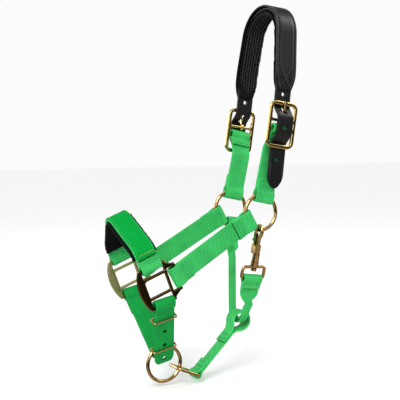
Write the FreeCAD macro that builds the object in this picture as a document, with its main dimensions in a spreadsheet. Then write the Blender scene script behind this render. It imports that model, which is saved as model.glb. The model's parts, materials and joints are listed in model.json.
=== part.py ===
import FreeCAD, Part
import math
import os
import Sketcher
from FreeCAD import Placement, Rotation, Vector

# Head halter: webbing straps, a padded leather crown and brass fittings.
# Frame: +X is the wearer's near (left) side, +Y points back to the poll, +Z is up.
# The origin lies midway between the centres of the two cheek rings.
# Straps are drawn as a centre line in their own XZ plane: local x is the way the
# strap is thick, local y the way it is wide, local z the way it runs.

doc = FreeCAD.newDocument("HeadHalter")

DIMENSIONS = [
    ("webbing_width", 25.4),
    ("webbing_thickness", 2.4),
    ("webbing_edge_radius", 0.8),
    ("jaw_webbing_width", 19.0),
    ("folded_webbing_width", 13.0),
    ("folded_webbing_thickness", 4.6),
    ("ring_inner_diameter", 38.1),
    ("ring_wire_diameter", 4.4),
    ("leather_width", 22.0),
    ("leather_thickness", 3.2),
    ("crown_width", 29.0),
    ("crown_pad_thickness", 4.0),
    ("crown_cover_thickness", 1.6),
    ("nose_pad_width", 34.0),
    ("nose_pad_thickness", 5.0),
    ("overlay_width", 24.0),
    ("overlay_thickness", 1.4),
    ("buckle_height", 56.0),
    ("buckle_width", 39.2),
    ("buckle_bar", 4.8),
    ("buckle_thickness", 3.6),
    ("cross_bar", 3.4),
    ("cross_bar_offset", 5.0),
    ("tongue_diameter", 3.0),
    ("square_opening_length", 26.0),
    ("square_opening_height", 19.6),
    ("square_bar", 3.6),
    ("square_slot", 7.8),
    ("square_slot_length", 27.0),
    ("square_thickness", 3.6),
    ("keeper_wire", 2.2),
    ("link_wire", 3.5),
    ("link_length", 34.0),
    ("snap_wire", 4.6),
    ("eye_bar", 3.6),
    ("hole_diameter", 5.0),
    ("hole_spacing", 22.0),
    ("spring_leaf_width", 3.6),
    ("spring_leaf_thickness", 0.4),
]

sheet = doc.addObject("Spreadsheet::Sheet", "Params")
for row, (name, value) in enumerate(DIMENSIONS, start=1):
    sheet.set("A%d" % row, name)
    sheet.set("B%d" % row, str(value))
    sheet.setAlias("B%d" % row, name)
doc.recompute()


def size(name):
    return float(getattr(sheet, name))


# ---------------------------------------------------------------- layout numbers

NEAR = 1
FAR = -1
RING_SIDE = 36.0            # cheek rings, out from the middle
SQUARE_SIDE = 43.0          # halter squares, out from the middle
SQUARE_BACK = -140.0        # halter squares, along Y
SQUARE_UP = -76.0           # halter squares, along Z
SQUARE_TILT = 21.0          # squares lean forward by this
NOSE_TILT = 22.0            # plane of the noseband leans forward by this
CHIN_TILT = 12.5            # plane of the chin strap, from upright
CHIN_NEAR_LEAN = 25.5       # near leg of the chin strap, from upright
BILLET_TILT = 12.0          # crown billets lean back by this
BUCKLE_TILT = 8.5
CROWN_TILT = 6.0
SNAP_TILT = 4.0             # the snap hangs forward of its ring's axis by this
THROAT_FAR_ANGLE = 8.0      # throat strap's hold on the far ring, back of straight down
JAW_RISE = 44.8             # jaw strap, above level
LINK_DROP = 23.0            # jaw link, below level

CLEARANCE = 0.5             # gap between webbing and the wire inside it
CROSS_EXTRA = 0.1           # and a little more at the buckles' cross bars
HOLD_INSIDE = 2.15          # a strap's hold on a ring, in from the wire's centre line
PLY_GAP = 0.2               # gap between two plies of one strap
BEND = 6.0                  # radius where plies part to pass round a wire
RING_DIP = 4.7              # length of a webbing eye that rides on a round ring
BAR_DIP = 3.4               # length of a webbing eye that sits askew on a bar


def circle_of_ring():
    """Radius of the centre line of a ring's wire."""
    return size("ring_inner_diameter") / 2 + size("ring_wire_diameter") / 2


# ---------------------------------------------------------------- drawing helpers

def line(length):
    return ("line", length)


def arc(radius, turn):
    """Left turns are positive, in degrees."""
    return ("arc", radius, turn)


def walk(steps, heading=90.0, start=(0.0, 0.0)):
    """Follow the steps; return the pen's last place, heading and the pieces drawn."""
    x, z = start
    angle = math.radians(heading)
    pieces = []
    for step in steps:
        if step[0] == "line":
            x2 = x + step[1] * math.cos(angle)
            z2 = z + step[1] * math.sin(angle)
            pieces.append(("line", (x, z), (x2, z2)))
        else:
            radius, turn = step[1], math.radians(step[2])
            hand = 1 if turn > 0 else -1
            cx = x - hand * radius * math.sin(angle)
            cz = z + hand * radius * math.cos(angle)
            first = math.atan2(z - cz, x - cx)
            x2 = cx + radius * math.cos(first + turn)
            z2 = cz + radius * math.sin(first + turn)
            pieces.append(("arc", (cx, cz), radius, first, first + turn))
            angle += turn
        x, z = x2, z2
    return (x, z), math.degrees(angle), pieces


def mirrored(steps):
    """The same walk with every turn the other way."""
    return [step if step[0] == "line" else ("arc", step[1], -step[2]) for step in steps]


def moved_inward(steps, inset):
    """The parallel walk lying `inset` to the left of this one."""
    result = []
    for step in steps:
        if step[0] == "arc":
            hand = 1 if step[2] > 0 else -1
            step = ("arc", step[1] - hand * inset, step[2])
        result.append(step)
    return result


def eye(turn, dip, radius):
    """Plies part, pass round a wire and close again. `turn` is +1 for left."""
    spread = radius - (size("webbing_thickness") + PLY_GAP) / 2
    bend = math.degrees(math.acos(1 - spread / 2 / BEND))
    part_plies = [arc(BEND, -turn * bend), arc(BEND, turn * bend)]
    straight = [line(dip)] if dip > 0 else []
    close_plies = [arc(BEND, turn * bend), arc(BEND, -turn * bend)]
    return part_plies + straight + [arc(radius, turn * 180)] + straight + close_plies


def eye_reach(dip, radius):
    """Distance along the strap from the start of an eye to the middle of its wire."""
    spread = radius - (size("webbing_thickness") + PLY_GAP) / 2
    bend = math.acos(1 - spread / 2 / BEND)
    return 2 * BEND * math.sin(bend) + dip / 2


def plane_of(body, role):
    for feature in body.Origin.OriginFeatures:
        if feature.Role == role:
            return feature
    raise ValueError(role)


def new_sketch(body, name, role, offset=None):
    sketch = body.newObject("Sketcher::SketchObject", name)
    sketch.AttachmentSupport = (plane_of(body, role), [""])
    sketch.MapMode = "FlatFace"
    if offset is not None:
        sketch.AttachmentOffset = Placement(offset, Rotation())
    return sketch


def bind(sketch, constraint, expression):
    sketch.setExpression("Constraints[%d]" % constraint, expression)


def draw_walk(sketch, steps):
    """Draw a walk that starts at the sketch's origin, heading up."""
    last = None
    for step, piece in zip(steps, walk(steps)[2]):
        if piece[0] == "line":
            start, end = Vector(*piece[1], 0), Vector(*piece[2], 0)
            edge = sketch.addGeometry(Part.LineSegment(start, end), False)
            first_point, last_point = 1, 2
        else:
            centre, radius, begin, finish = piece[1:]
            circle = Part.Circle(Vector(*centre, 0), Vector(0, 0, 1), radius)
            low, high = min(begin, finish), max(begin, finish)
            edge = sketch.addGeometry(Part.ArcOfCircle(circle, low, high), False)
            first_point, last_point = (1, 2) if finish > begin else (2, 1)
        if last is None:
            sketch.addConstraint(Sketcher.Constraint("Coincident", edge, 1, -1, 1))
            sketch.addConstraint(Sketcher.Constraint("Vertical", edge))
        else:
            joined = Sketcher.Constraint("Tangent", last[0], last[1], edge, first_point)
            sketch.addConstraint(joined)
        if piece[0] == "line":
            sketch.addConstraint(Sketcher.Constraint("Distance", edge, step[1]))
        else:
            sketch.addConstraint(Sketcher.Constraint("Radius", edge, step[1]))
            turned = Sketcher.Constraint("Angle", edge, math.radians(abs(step[2])))
            sketch.addConstraint(turned)
        last = (edge, last_point)


def draw_rounded_section(sketch, width_name, thickness_name, radius):
    """A strap's cross-section centred on the origin, corners rounded."""
    half_wide = size(width_name) / 2
    half_thick = size(thickness_name) / 2
    corners = [(half_thick, half_wide), (-half_thick, half_wide),
               (-half_thick, -half_wide), (half_thick, -half_wide)]
    edges = []
    for index, corner in enumerate(corners):
        following = corners[(index + 1) % 4]
        segment = Part.LineSegment(Vector(*corner, 0), Vector(*following, 0))
        edges.append(sketch.addGeometry(segment, False))
    for index, edge in enumerate(edges):
        following = edges[(index + 1) % 4]
        sketch.addConstraint(Sketcher.Constraint("Coincident", edge, 2, following, 1))
        kind = "Horizontal" if index % 2 == 0 else "Vertical"
        sketch.addConstraint(Sketcher.Constraint(kind, edge))
    middle = Sketcher.Constraint("Symmetric", edges[0], 1, edges[2], 1, -1, 1)
    sketch.addConstraint(middle)
    thick = Sketcher.Constraint("Distance", edges[0], 2 * half_thick)
    bind(sketch, sketch.addConstraint(thick), "Params." + thickness_name)
    wide = Sketcher.Constraint("Distance", edges[1], 2 * half_wide)
    bind(sketch, sketch.addConstraint(wide), "Params." + width_name)
    if radius:
        for edge in edges:
            sketch.fillet(edge, 2, radius)


def draw_circle(sketch, diameter_name, centre=(0.0, 0.0)):
    """A circle bound to a diameter on the sheet."""
    circle = Part.Circle(Vector(*centre, 0), Vector(0, 0, 1), size(diameter_name) / 2)
    edge = sketch.addGeometry(circle, False)
    if centre == (0.0, 0.0):
        sketch.addConstraint(Sketcher.Constraint("Coincident", edge, 3, -1, 1))
    else:
        across = Sketcher.Constraint("DistanceX", -1, 1, edge, 3, centre[0])
        sketch.addConstraint(across)
        along = Sketcher.Constraint("DistanceY", -1, 1, edge, 3, centre[1])
        sketch.addConstraint(along)
    wide = Sketcher.Constraint("Diameter", edge, size(diameter_name))
    bind(sketch, sketch.addConstraint(wide), "Params." + diameter_name)


def sweep(body, name, steps, width_name, thickness_name, radius, offset=None):
    """Run a strap's section along a walk."""
    path = new_sketch(body, name + "_path", "XZ_Plane")
    if offset is not None:
        path.AttachmentOffset = Placement(Vector(offset.x, offset.z, -offset.y), Rotation())
    draw_walk(path, steps)
    section = new_sketch(body, name + "_section", "XY_Plane", offset)
    if thickness_name is None:
        draw_circle(section, width_name)
    else:
        draw_rounded_section(section, width_name, thickness_name, radius)
    doc.recompute()
    pipe = body.newObject("PartDesign::AdditivePipe", name)
    pipe.Profile = section
    edges = ["Edge%d" % (index + 1) for index in range(len(path.Shape.Edges))]
    pipe.Spine = (path, edges)
    doc.recompute()
    return pipe


def strap(label, steps, width_name, thickness_name, placement, radius=0.0):
    body = doc.addObject("PartDesign::Body", label)
    sweep(body, label + "_run", steps, width_name, thickness_name, radius)
    body.Placement = placement
    return body


def draw_rectangle(sketch, wide, tall, centre=(0.0, 0.0), wide_expression=None,
                   tall_expression=None, radius=0.0):
    """A rectangle about a centre; its sizes may follow the sheet."""
    cx, cy = centre
    corners = [(cx - wide / 2, cy - tall / 2), (cx + wide / 2, cy - tall / 2),
               (cx + wide / 2, cy + tall / 2), (cx - wide / 2, cy + tall / 2)]
    edges = []
    for index, corner in enumerate(corners):
        following = corners[(index + 1) % 4]
        segment = Part.LineSegment(Vector(*corner, 0), Vector(*following, 0))
        edges.append(sketch.addGeometry(segment, False))
    for index, edge in enumerate(edges):
        following = edges[(index + 1) % 4]
        sketch.addConstraint(Sketcher.Constraint("Coincident", edge, 2, following, 1))
        kind = "Horizontal" if index % 2 == 0 else "Vertical"
        sketch.addConstraint(Sketcher.Constraint(kind, edge))
    middle = sketch.addGeometry(Part.Point(Vector(cx, cy, 0)), True)
    sketch.addConstraint(Sketcher.Constraint("DistanceX", -1, 1, middle, 1, cx))
    sketch.addConstraint(Sketcher.Constraint("DistanceY", -1, 1, middle, 1, cy))
    centred = Sketcher.Constraint("Symmetric", edges[0], 1, edges[2], 1, middle, 1)
    sketch.addConstraint(centred)
    across = sketch.addConstraint(Sketcher.Constraint("Distance", edges[0], wide))
    if wide_expression:
        bind(sketch, across, wide_expression)
    along = sketch.addConstraint(Sketcher.Constraint("Distance", edges[1], tall))
    if tall_expression:
        bind(sketch, along, tall_expression)
    if radius:
        for edge in edges:
            sketch.fillet(edge, 2, radius)


def pad_both_ways(body, name, sketch, thickness_name):
    pad = body.newObject("PartDesign::Pad", name)
    pad.Profile = sketch
    pad.SideType = "Symmetric"
    pad.Length = size(thickness_name)
    pad.setExpression("Length", "Params." + thickness_name)
    doc.recompute()
    return pad


def soften(body, name, base, radius):
    """Round every edge of a cast piece."""
    fillet = body.newObject("PartDesign::Fillet", name)
    fillet.Base = (base, [""])
    fillet.UseAllEdges = True
    fillet.Radius = radius
    doc.recompute()
    return fillet


def leaning(x_axis, run, place):
    """Put a strap's local z along `run` and its local x as near `x_axis` as can be."""
    return Placement(place, Rotation(x_axis, Vector(0, 0, 0), run, "ZXY"))


def swing(angle):
    """Upright direction leaned back (towards +Y) by an angle."""
    return Vector(0, math.sin(math.radians(angle)), math.cos(math.radians(angle)))


X_AXIS = Vector(1, 0, 0)
PLY = size("webbing_thickness") + PLY_GAP
RING_EYE = size("ring_wire_diameter") / 2 + CLEARANCE + size("webbing_thickness") / 2
BAR_EYE = size("square_bar") / 2 + 2 * CLEARANCE + size("webbing_thickness") / 2
CROSS_EYE = (size("cross_bar") + size("webbing_thickness")) / 2 + 2 * CLEARANCE + CROSS_EXTRA
RING_EYE_MIDDLE = circle_of_ring() - HOLD_INSIDE


# ---------------------------------------------------------------- rings

def ring(label, placement):
    """A round ring of brass wire; its axis is local z."""
    body = doc.addObject("PartDesign::Body", label)
    section = new_sketch(body, label + "_section", "XZ_Plane")
    place = (circle_of_ring(), 0.0)
    circle = Part.Circle(Vector(*place, 0), Vector(0, 0, 1), size("ring_wire_diameter") / 2)
    wire = section.addGeometry(circle, False)
    section.addConstraint(Sketcher.Constraint("PointOnObject", wire, 3, -1))
    reach = section.addConstraint(Sketcher.Constraint("DistanceX", -1, 1, wire, 3, place[0]))
    bind(section, reach, "(Params.ring_inner_diameter + Params.ring_wire_diameter) / 2")
    thick = Sketcher.Constraint("Diameter", wire, size("ring_wire_diameter"))
    bind(section, section.addConstraint(thick), "Params.ring_wire_diameter")
    turn = body.newObject("PartDesign::Revolution", label + "_turn")
    turn.Profile = section
    turn.ReferenceAxis = (section, ["V_Axis"])
    turn.Angle = 360
    doc.recompute()
    body.Placement = placement
    return body


SIDEWAYS = Rotation(Vector(0, 1, 0), 90)
ring("near_cheek_ring", Placement(Vector(RING_SIDE, 0, 0), SIDEWAYS))
ring("far_cheek_ring", Placement(Vector(-RING_SIDE, 0, 0), SIDEWAYS))


# ---------------------------------------------------------------- halter squares

HALF_LONG = size("square_opening_length") / 2
HALF_TALL = size("square_opening_height") / 2
SQUARE_WALL = size("square_bar")
SQUARE_REACH = SQUARE_WALL + size("square_slot")
TOP_BAR = HALF_TALL + SQUARE_REACH + SQUARE_WALL / 2      # centre to middle of top bar
BACK_BAR = HALF_LONG + SQUARE_REACH + SQUARE_WALL / 2
SQUARE_ROUND = 1.2
FRONT_BULGE = 6.5            # how far the thick front bar bows out
ARM_NOTCH = 3.2              # depth of the hollows between the arms at the back corners
HOLLOW_RIM = 2.3             # rim left round the hollow in the front bar's faces
HOLLOW_TALL = 31.0
HOLLOW_DEPTH = 0.9


def front_hollow(body, label, face, crest):
    """A shallow bowed hollow in one face of the front bar, up to its crest."""
    name = "%s_hollow_%s" % (label, "near" if face == NEAR else "far")
    plane = Vector(0, 0, face * size("square_thickness") / 2)
    hollow = new_sketch(body, name + "_outline", "YZ_Plane", plane)
    back = -HALF_LONG - HOLLOW_RIM
    top = Vector(back, HOLLOW_TALL / 2, 0)
    foot = Vector(back, -HOLLOW_TALL / 2, 0)
    straight = hollow.addGeometry(Part.LineSegment(foot, top), False)
    bow = hollow.addGeometry(Part.Arc(top, Vector(crest, 0, 0), foot), False)
    hollow.addConstraint(Sketcher.Constraint("Vertical", straight))
    hollow.addConstraint(Sketcher.Constraint("DistanceX", -1, 1, straight, 1, back))
    hollow.addConstraint(Sketcher.Constraint("DistanceY", -1, 1, straight, 1, foot.y))
    hollow.addConstraint(Sketcher.Constraint("DistanceY", straight, 1, straight, 2, HOLLOW_TALL))
    hollow.addConstraint(Sketcher.Constraint("Coincident", straight, 2, bow, 1))
    cut = body.newObject("PartDesign::Pocket", name)
    cut.Profile = hollow
    cut.Length = HOLLOW_DEPTH
    cut.Reversed = face == FAR
    doc.recompute()


def halter_square(label, side):
    """A cast square: one opening and three slots, each inside a straight bar."""
    body = doc.addObject("PartDesign::Body", label)
    outline = new_sketch(body, label + "_outline", "YZ_Plane")
    half_slot = size("square_slot_length") / 2
    arm = half_slot + SQUARE_WALL
    top = TOP_BAR + SQUARE_WALL / 2
    back = BACK_BAR + SQUARE_WALL / 2
    front = -arm
    upper = [(front, top), (arm, top), (arm, top - ARM_NOTCH)]
    middle = [(back - ARM_NOTCH, arm), (back, arm)]
    corners = upper + middle
    mirror = [(y, -z) for (y, z) in reversed(corners)]
    loop = corners + mirror
    segments = []
    for first, second in zip(loop[:-1], loop[1:]):
        segment = Part.LineSegment(Vector(*first, 0), Vector(*second, 0))
        segments.append(outline.addGeometry(segment, False))
    bulge = Part.Arc(Vector(front, -top, 0), Vector(front - FRONT_BULGE, 0, 0),
                     Vector(front, top, 0))
    segments.append(outline.addGeometry(bulge, False))
    for first, second in zip(segments[:-2], segments[1:-1]):
        outline.addConstraint(Sketcher.Constraint("Coincident", first, 2, second, 1))
    starts = loop[:-1]
    for segment, corner in zip(segments[:-1], starts):
        outline.addConstraint(Sketcher.Constraint("DistanceX", -1, 1, segment, 1, corner[0]))
        outline.addConstraint(Sketcher.Constraint("DistanceY", -1, 1, segment, 1, corner[1]))
    end = loop[-1]
    outline.addConstraint(Sketcher.Constraint("DistanceX", -1, 1, segments[-2], 2, end[0]))
    outline.addConstraint(Sketcher.Constraint("DistanceY", -1, 1, segments[-2], 2, end[1]))
    pad_both_ways(body, label + "_plate", outline, "square_thickness")
    windows = new_sketch(body, label + "_windows", "YZ_Plane")
    draw_rectangle(windows, 2 * HALF_LONG, 2 * HALF_TALL, (0.0, 0.0),
                   "Params.square_opening_length", "Params.square_opening_height")
    slot_middle = HALF_TALL + SQUARE_WALL + size("square_slot") / 2
    for hand in (1, -1):
        draw_rectangle(windows, 2 * half_slot, size("square_slot"), (0.0, hand * slot_middle),
                       "Params.square_slot_length", "Params.square_slot")
    back_middle = HALF_LONG + SQUARE_WALL + size("square_slot") / 2
    draw_rectangle(windows, size("square_slot"), 2 * half_slot, (back_middle, 0.0),
                   "Params.square_slot", "Params.square_slot_length")
    cut = body.newObject("PartDesign::Pocket", label + "_openings")
    cut.Profile = windows
    cut.SideType = "Symmetric"
    cut.Length = 4 * size("square_thickness")
    doc.recompute()
    soften(body, label + "_rounded", cut, SQUARE_ROUND)
    for face in (NEAR, FAR):
        front_hollow(body, label, face, front - FRONT_BULGE + HOLLOW_RIM)
    place = Vector(side * SQUARE_SIDE, SQUARE_BACK, SQUARE_UP)
    body.Placement = Placement(place, Rotation(X_AXIS, SQUARE_TILT))
    return body


halter_square("near_halter_square", NEAR)
halter_square("far_halter_square", FAR)

SQUARE_UPWARD = Vector(0, -math.sin(math.radians(SQUARE_TILT)),
                       math.cos(math.radians(SQUARE_TILT)))
SQUARE_BACKWARD = Vector(0, math.cos(math.radians(SQUARE_TILT)),
                         math.sin(math.radians(SQUARE_TILT)))


NOSE_UP = swing(-NOSE_TILT)


def square_point(side, backward, upward):
    centre = Vector(side * SQUARE_SIDE, SQUARE_BACK, SQUARE_UP)
    return centre + SQUARE_BACKWARD * backward + SQUARE_UPWARD * upward


# ---------------------------------------------------------------- cheek straps

CHEEK_RING_FLAP = 12.0
CHEEK_SQUARE_FLAP = 10.0


def cheek_strap(label, side):
    """Webbing from the square's back bar to the ring, both ends turned outwards."""
    bar = square_point(side, BACK_BAR, 0.0)
    towards_bar = Vector(0, bar.y, bar.z)
    towards_bar.normalize()
    hold = Vector(side * RING_SIDE, 0, 0) + towards_bar * RING_EYE_MIDDLE
    run = hold - bar
    between = run.Length
    run.normalize()
    ring_eye = eye_reach(RING_DIP, RING_EYE)
    bar_eye = eye_reach(BAR_DIP, BAR_EYE)
    main = between - ring_eye - bar_eye
    steps = [line(CHEEK_RING_FLAP)] + eye(1, RING_DIP, RING_EYE) + [line(main)]
    steps += eye(1, BAR_DIP, BAR_EYE) + [line(CHEEK_SQUARE_FLAP)]
    if side == FAR:
        steps = mirrored(steps)
    place = leaning(X_AXIS, run, bar)
    start = Vector(side * PLY / 2, 0, between - ring_eye - CHEEK_RING_FLAP)
    place = place.multiply(Placement(start, Rotation()))
    return strap(label, steps, "webbing_width", "webbing_thickness", place,
                 size("webbing_edge_radius"))


cheek_strap("near_cheek_strap", NEAR)
cheek_strap("far_cheek_strap", FAR)


# ---------------------------------------------------------------- crown billets

BILLET_FLAP = 12.0           # turned-up end above the ring
BILLET_SLOPE = 30.0          # angle at which the billet runs out to the buckle
BILLET_BEND = 15.0
BILLET_TOP_FLAP = 9.0
BILLET_SLANT = 15.0          # straight length at that slope
NEAR_BILLET_RUN = 45.0       # upright length on the near side
FAR_BILLET_RUN = 37.5        # the far side is buckled one size shorter


def billet_steps(run):
    steps = [line(BILLET_FLAP)] + eye(-1, RING_DIP, RING_EYE)
    steps += [line(run), arc(BILLET_BEND, -BILLET_SLOPE), line(BILLET_SLANT)]
    return steps


def billet_bar(run):
    """Where the buckle's webbing bar lies: out from the ring plane, up from its centre."""
    steps = billet_steps(run)
    (x, z), heading = walk(steps, heading=-90.0)[:2]
    angle = math.radians(heading)
    reach = eye_reach(0.0, CROSS_EYE)
    x += reach * math.cos(angle) - PLY / 2 * math.sin(angle)
    z += reach * math.sin(angle) + PLY / 2 * math.cos(angle)
    foot = RING_EYE_MIDDLE + eye_reach(RING_DIP, RING_EYE) + BILLET_FLAP
    return x + PLY / 2, z + foot


def crown_billet(label, side, run):
    steps = billet_steps(run) + eye(1, 0.0, CROSS_EYE) + [line(BILLET_TOP_FLAP)]
    down = swing(BILLET_TILT) * -1
    foot = RING_EYE_MIDDLE + eye_reach(RING_DIP, RING_EYE) + BILLET_FLAP
    place = Vector(side * (RING_SIDE + PLY / 2), 0, 0) - down * foot
    if side == NEAR:
        steps = mirrored(steps)
    turned = leaning(X_AXIS, down, place)
    return strap(label, steps, "webbing_width", "webbing_thickness", turned,
                 size("webbing_edge_radius"))


crown_billet("near_crown_billet", NEAR, NEAR_BILLET_RUN)
crown_billet("far_crown_billet", FAR, FAR_BILLET_RUN)


# ---------------------------------------------------------------- crown buckles

BUCKLE_CORNER = 9.0
WINDOW_CORNER = 2.5
BUCKLE_ROUND = 1.3
TONGUE_GAP = 0.5
KNUCKLE_WALL = 0.75          # of the tongue's diameter
SHANK_ROOT = 0.3             # of the tongue's diameter, up into the knuckle
BAR_GAP_CORNER = 1.0         # corners of the slot between the cross bars
TONGUE_REACH = 22.5          # cross bar to the tip of the tongue
TONGUE_LIFT = 10.2            # degrees the tongue stands out from the frame at rest


def buckle_centre(side, run):
    out, up = billet_bar(run)
    bar = Vector(side * (RING_SIDE + out), 0, 0) + swing(BILLET_TILT) * up
    return bar + swing(BUCKLE_TILT) * size("cross_bar_offset")


def buckle_frame(label, side, run):
    """An upright cast frame with two cross bars: one for the tongue, one for webbing."""
    body = doc.addObject("PartDesign::Body", label)
    outline = new_sketch(body, label + "_outline", "YZ_Plane")
    draw_rectangle(outline, size("buckle_width"), size("buckle_height"), (0.0, 0.0),
                   "Params.buckle_width", "Params.buckle_height", BUCKLE_CORNER)
    pad_both_ways(body, label + "_plate", outline, "buckle_thickness")
    windows = new_sketch(body, label + "_windows", "YZ_Plane")
    inner = size("buckle_width") - 2 * size("buckle_bar")
    low = size("cross_bar_offset") + size("cross_bar") / 2
    high = size("buckle_height") / 2 - size("buckle_bar")
    for hand in (1, -1):
        draw_rectangle(windows, inner, high - low, (0.0, hand * (high + low) / 2),
                       "Params.buckle_width - 2 * Params.buckle_bar", None, WINDOW_CORNER)
    gap = 2 * size("cross_bar_offset") - size("cross_bar")
    draw_rectangle(windows, inner, gap, (0.0, 0.0),
                   "Params.buckle_width - 2 * Params.buckle_bar", None, BAR_GAP_CORNER)
    cut = body.newObject("PartDesign::Pocket", label + "_openings")
    cut.Profile = windows
    cut.SideType = "Symmetric"
    cut.Length = 4 * size("buckle_thickness")
    doc.recompute()
    soften(body, label + "_rounded", cut, BUCKLE_ROUND)
    body.Placement = Placement(buckle_centre(side, run), Rotation(X_AXIS, -BUCKLE_TILT))
    return body


def buckle_tongue(label, side, run):
    """A wire tongue curled round the upper cross bar, its tip on the frame's top bar."""
    body = doc.addObject("PartDesign::Body", label)
    thick = size("tongue_diameter")
    curl = new_sketch(body, label + "_curl", "XZ_Plane")
    inner = size("cross_bar") / 2 + TONGUE_GAP
    for radius in (inner, inner + thick * KNUCKLE_WALL):
        circle = Part.Circle(Vector(0, 0, 0), Vector(0, 0, 1), radius)
        edge = curl.addGeometry(circle, False)
        curl.addConstraint(Sketcher.Constraint("Coincident", edge, 3, -1, 1))
        curl.addConstraint(Sketcher.Constraint("Radius", edge, radius))
    knuckle = pad_both_ways(body, label + "_knuckle", curl, "tongue_diameter")
    knuckle.setExpression("Length", "Params.tongue_diameter * 1.2")
    shank = new_sketch(body, label + "_shank", "XY_Plane", Vector(0, 0, inner + thick * SHANK_ROOT))
    draw_circle(shank, "tongue_diameter")
    reach = body.newObject("PartDesign::Pad", label + "_reach")
    reach.Profile = shank
    reach.Length = TONGUE_REACH - inner
    doc.recompute()
    centre = buckle_centre(side, run) + swing(BUCKLE_TILT) * size("cross_bar_offset")
    upright = Placement(centre, Rotation(X_AXIS, -BUCKLE_TILT))
    lift = Placement(Vector(), Rotation(Vector(0, 1, 0), side * TONGUE_LIFT))
    body.Placement = upright.multiply(lift)
    return body


buckle_frame("near_buckle_frame", NEAR, NEAR_BILLET_RUN)
buckle_frame("far_buckle_frame", FAR, FAR_BILLET_RUN)
buckle_tongue("near_buckle_tongue", NEAR, NEAR_BILLET_RUN)
buckle_tongue("far_buckle_tongue", FAR, FAR_BILLET_RUN)


# ---------------------------------------------------------------- crown

WEAVE_RADIUS = 8.0           # leather's bends through the buckle
WEAVE_ANGLE = 45.0
FRAME_GAP = 0.35             # leather behind the buckle's frame
BARS_GAP = 0.3               # leather over the webbing on the cross bars
BEHIND_FRAME = (size("buckle_thickness") + size("leather_thickness")) / 2 + FRAME_GAP
BEFORE_BARS = CROSS_EYE + (size("webbing_thickness") + size("leather_thickness")) / 2 + BARS_GAP
WEAVE_SHIFT = BEHIND_FRAME + BEFORE_BARS
WEAVE_SLANT = (WEAVE_SHIFT / math.sin(math.radians(WEAVE_ANGLE))
               - 2 * WEAVE_RADIUS * math.tan(math.radians(WEAVE_ANGLE / 2)))
WEAVE_RISE = (2 * WEAVE_RADIUS + WEAVE_SLANT) * math.sin(math.radians(WEAVE_ANGLE))
BARS_RUN = 14.4              # length of leather lying over the two cross bars
NEAR_TIP_RUN = 51.0          # leather below the buckle's lower window
FAR_TIP_RUN = 43.5
LEG_RUN = 29.0               # straight leather above the near buckle
LEG_CURVE = 150.0
LEG_LEAN = 8.0
LEG_SLANT = 36.0
PAD_START = 17.0             # bare leather between buckle and padding
TONGUE_HOLE_UP = 14.6        # tongue hole above the buckle's centre
TONGUE_HOLE_LONG = 14.0
SPARE_HOLES = (1, -1, -3)     # holes counted up from the tongue's own
HOLE_END = size("hole_diameter") / 2 - 0.1
HOLE_CUT = 60.0
PADDING_EDGE = 1.6
COVER_EDGE = 0.6


def weave(turn):
    """Leather through a buckle, from behind the lower bar to behind the upper one."""
    over = [arc(WEAVE_RADIUS, -turn * WEAVE_ANGLE), line(WEAVE_SLANT),
            arc(WEAVE_RADIUS, turn * WEAVE_ANGLE)]
    back = [arc(WEAVE_RADIUS, turn * WEAVE_ANGLE), line(WEAVE_SLANT),
            arc(WEAVE_RADIUS, -turn * WEAVE_ANGLE)]
    return over + [line(BARS_RUN)] + back


def crown_geometry():
    """Heights of both buckles and the arch radius that joins them."""
    near = buckle_centre(NEAR, NEAR_BILLET_RUN)
    far = buckle_centre(FAR, FAR_BILLET_RUN)
    along = swing(CROWN_TILT)
    drop = (near - far).dot(along)
    half_width = near.x - BEHIND_FRAME
    lean = math.radians(LEG_LEAN)
    inward = LEG_CURVE * (1 - math.cos(lean)) + LEG_SLANT * math.sin(lean)
    radius = (half_width - inward) / math.cos(lean)
    return near, drop, radius


def arch_steps(near_run, far_run):
    """From the near leg over the poll and down the far leg."""
    radius = crown_geometry()[2]
    near_leg = [line(near_run), arc(LEG_CURVE, LEG_LEAN), line(LEG_SLANT)]
    far_leg = [line(LEG_SLANT), arc(LEG_CURVE, LEG_LEAN), line(far_run)]
    return near_leg + [arc(radius, 180 - 2 * LEG_LEAN)] + far_leg


def crown_place(height):
    """Placement of a crown piece that starts `height` above the near buckle's centre."""
    near = crown_geometry()[0]
    place = near + swing(CROWN_TILT) * height - X_AXIS * BEHIND_FRAME
    return leaning(X_AXIS, swing(CROWN_TILT), place)


def hole_row(body, label, across, tongue_hole, others):
    """Punched holes through one leg of a strap; the tongue's own hole is stretched."""
    holes = new_sketch(body, label, "YZ_Plane", Vector(0, 0, across))
    if tongue_hole is not None:
        draw_rectangle(holes, size("hole_diameter"), TONGUE_HOLE_LONG, (0.0, tongue_hole),
                       "Params.hole_diameter", None, HOLE_END)
    for height in others:
        draw_circle(holes, "hole_diameter", (0.0, height))
    doc.recompute()
    cut = body.newObject("PartDesign::Pocket", label + "_cut")
    cut.Profile = holes
    cut.SideType = "Symmetric"
    cut.Length = HOLE_CUT
    doc.recompute()


def crown_strap():
    """One leather strap through both buckles and over the poll."""
    drop = crown_geometry()[1]
    half_width = crown_geometry()[0].x - BEHIND_FRAME
    below = NEAR_TIP_RUN + WEAVE_RISE + BARS_RUN / 2
    steps = [line(NEAR_TIP_RUN)] + weave(1)
    steps += arch_steps(LEG_RUN, LEG_RUN + drop)
    steps += weave(1) + [line(FAR_TIP_RUN)]
    body = strap("crown_strap", steps, "leather_width", "leather_thickness",
                 crown_place(-below))
    near_hole = below + TONGUE_HOLE_UP
    for label, across, tongue_hole in (("near_holes", 0.0, near_hole),
                                       ("far_holes", -2 * half_width, near_hole - drop)):
        others = [tongue_hole + count * size("hole_spacing") for count in SPARE_HOLES]
        hole_row(body, label, across, tongue_hole, others)
    return body


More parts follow.
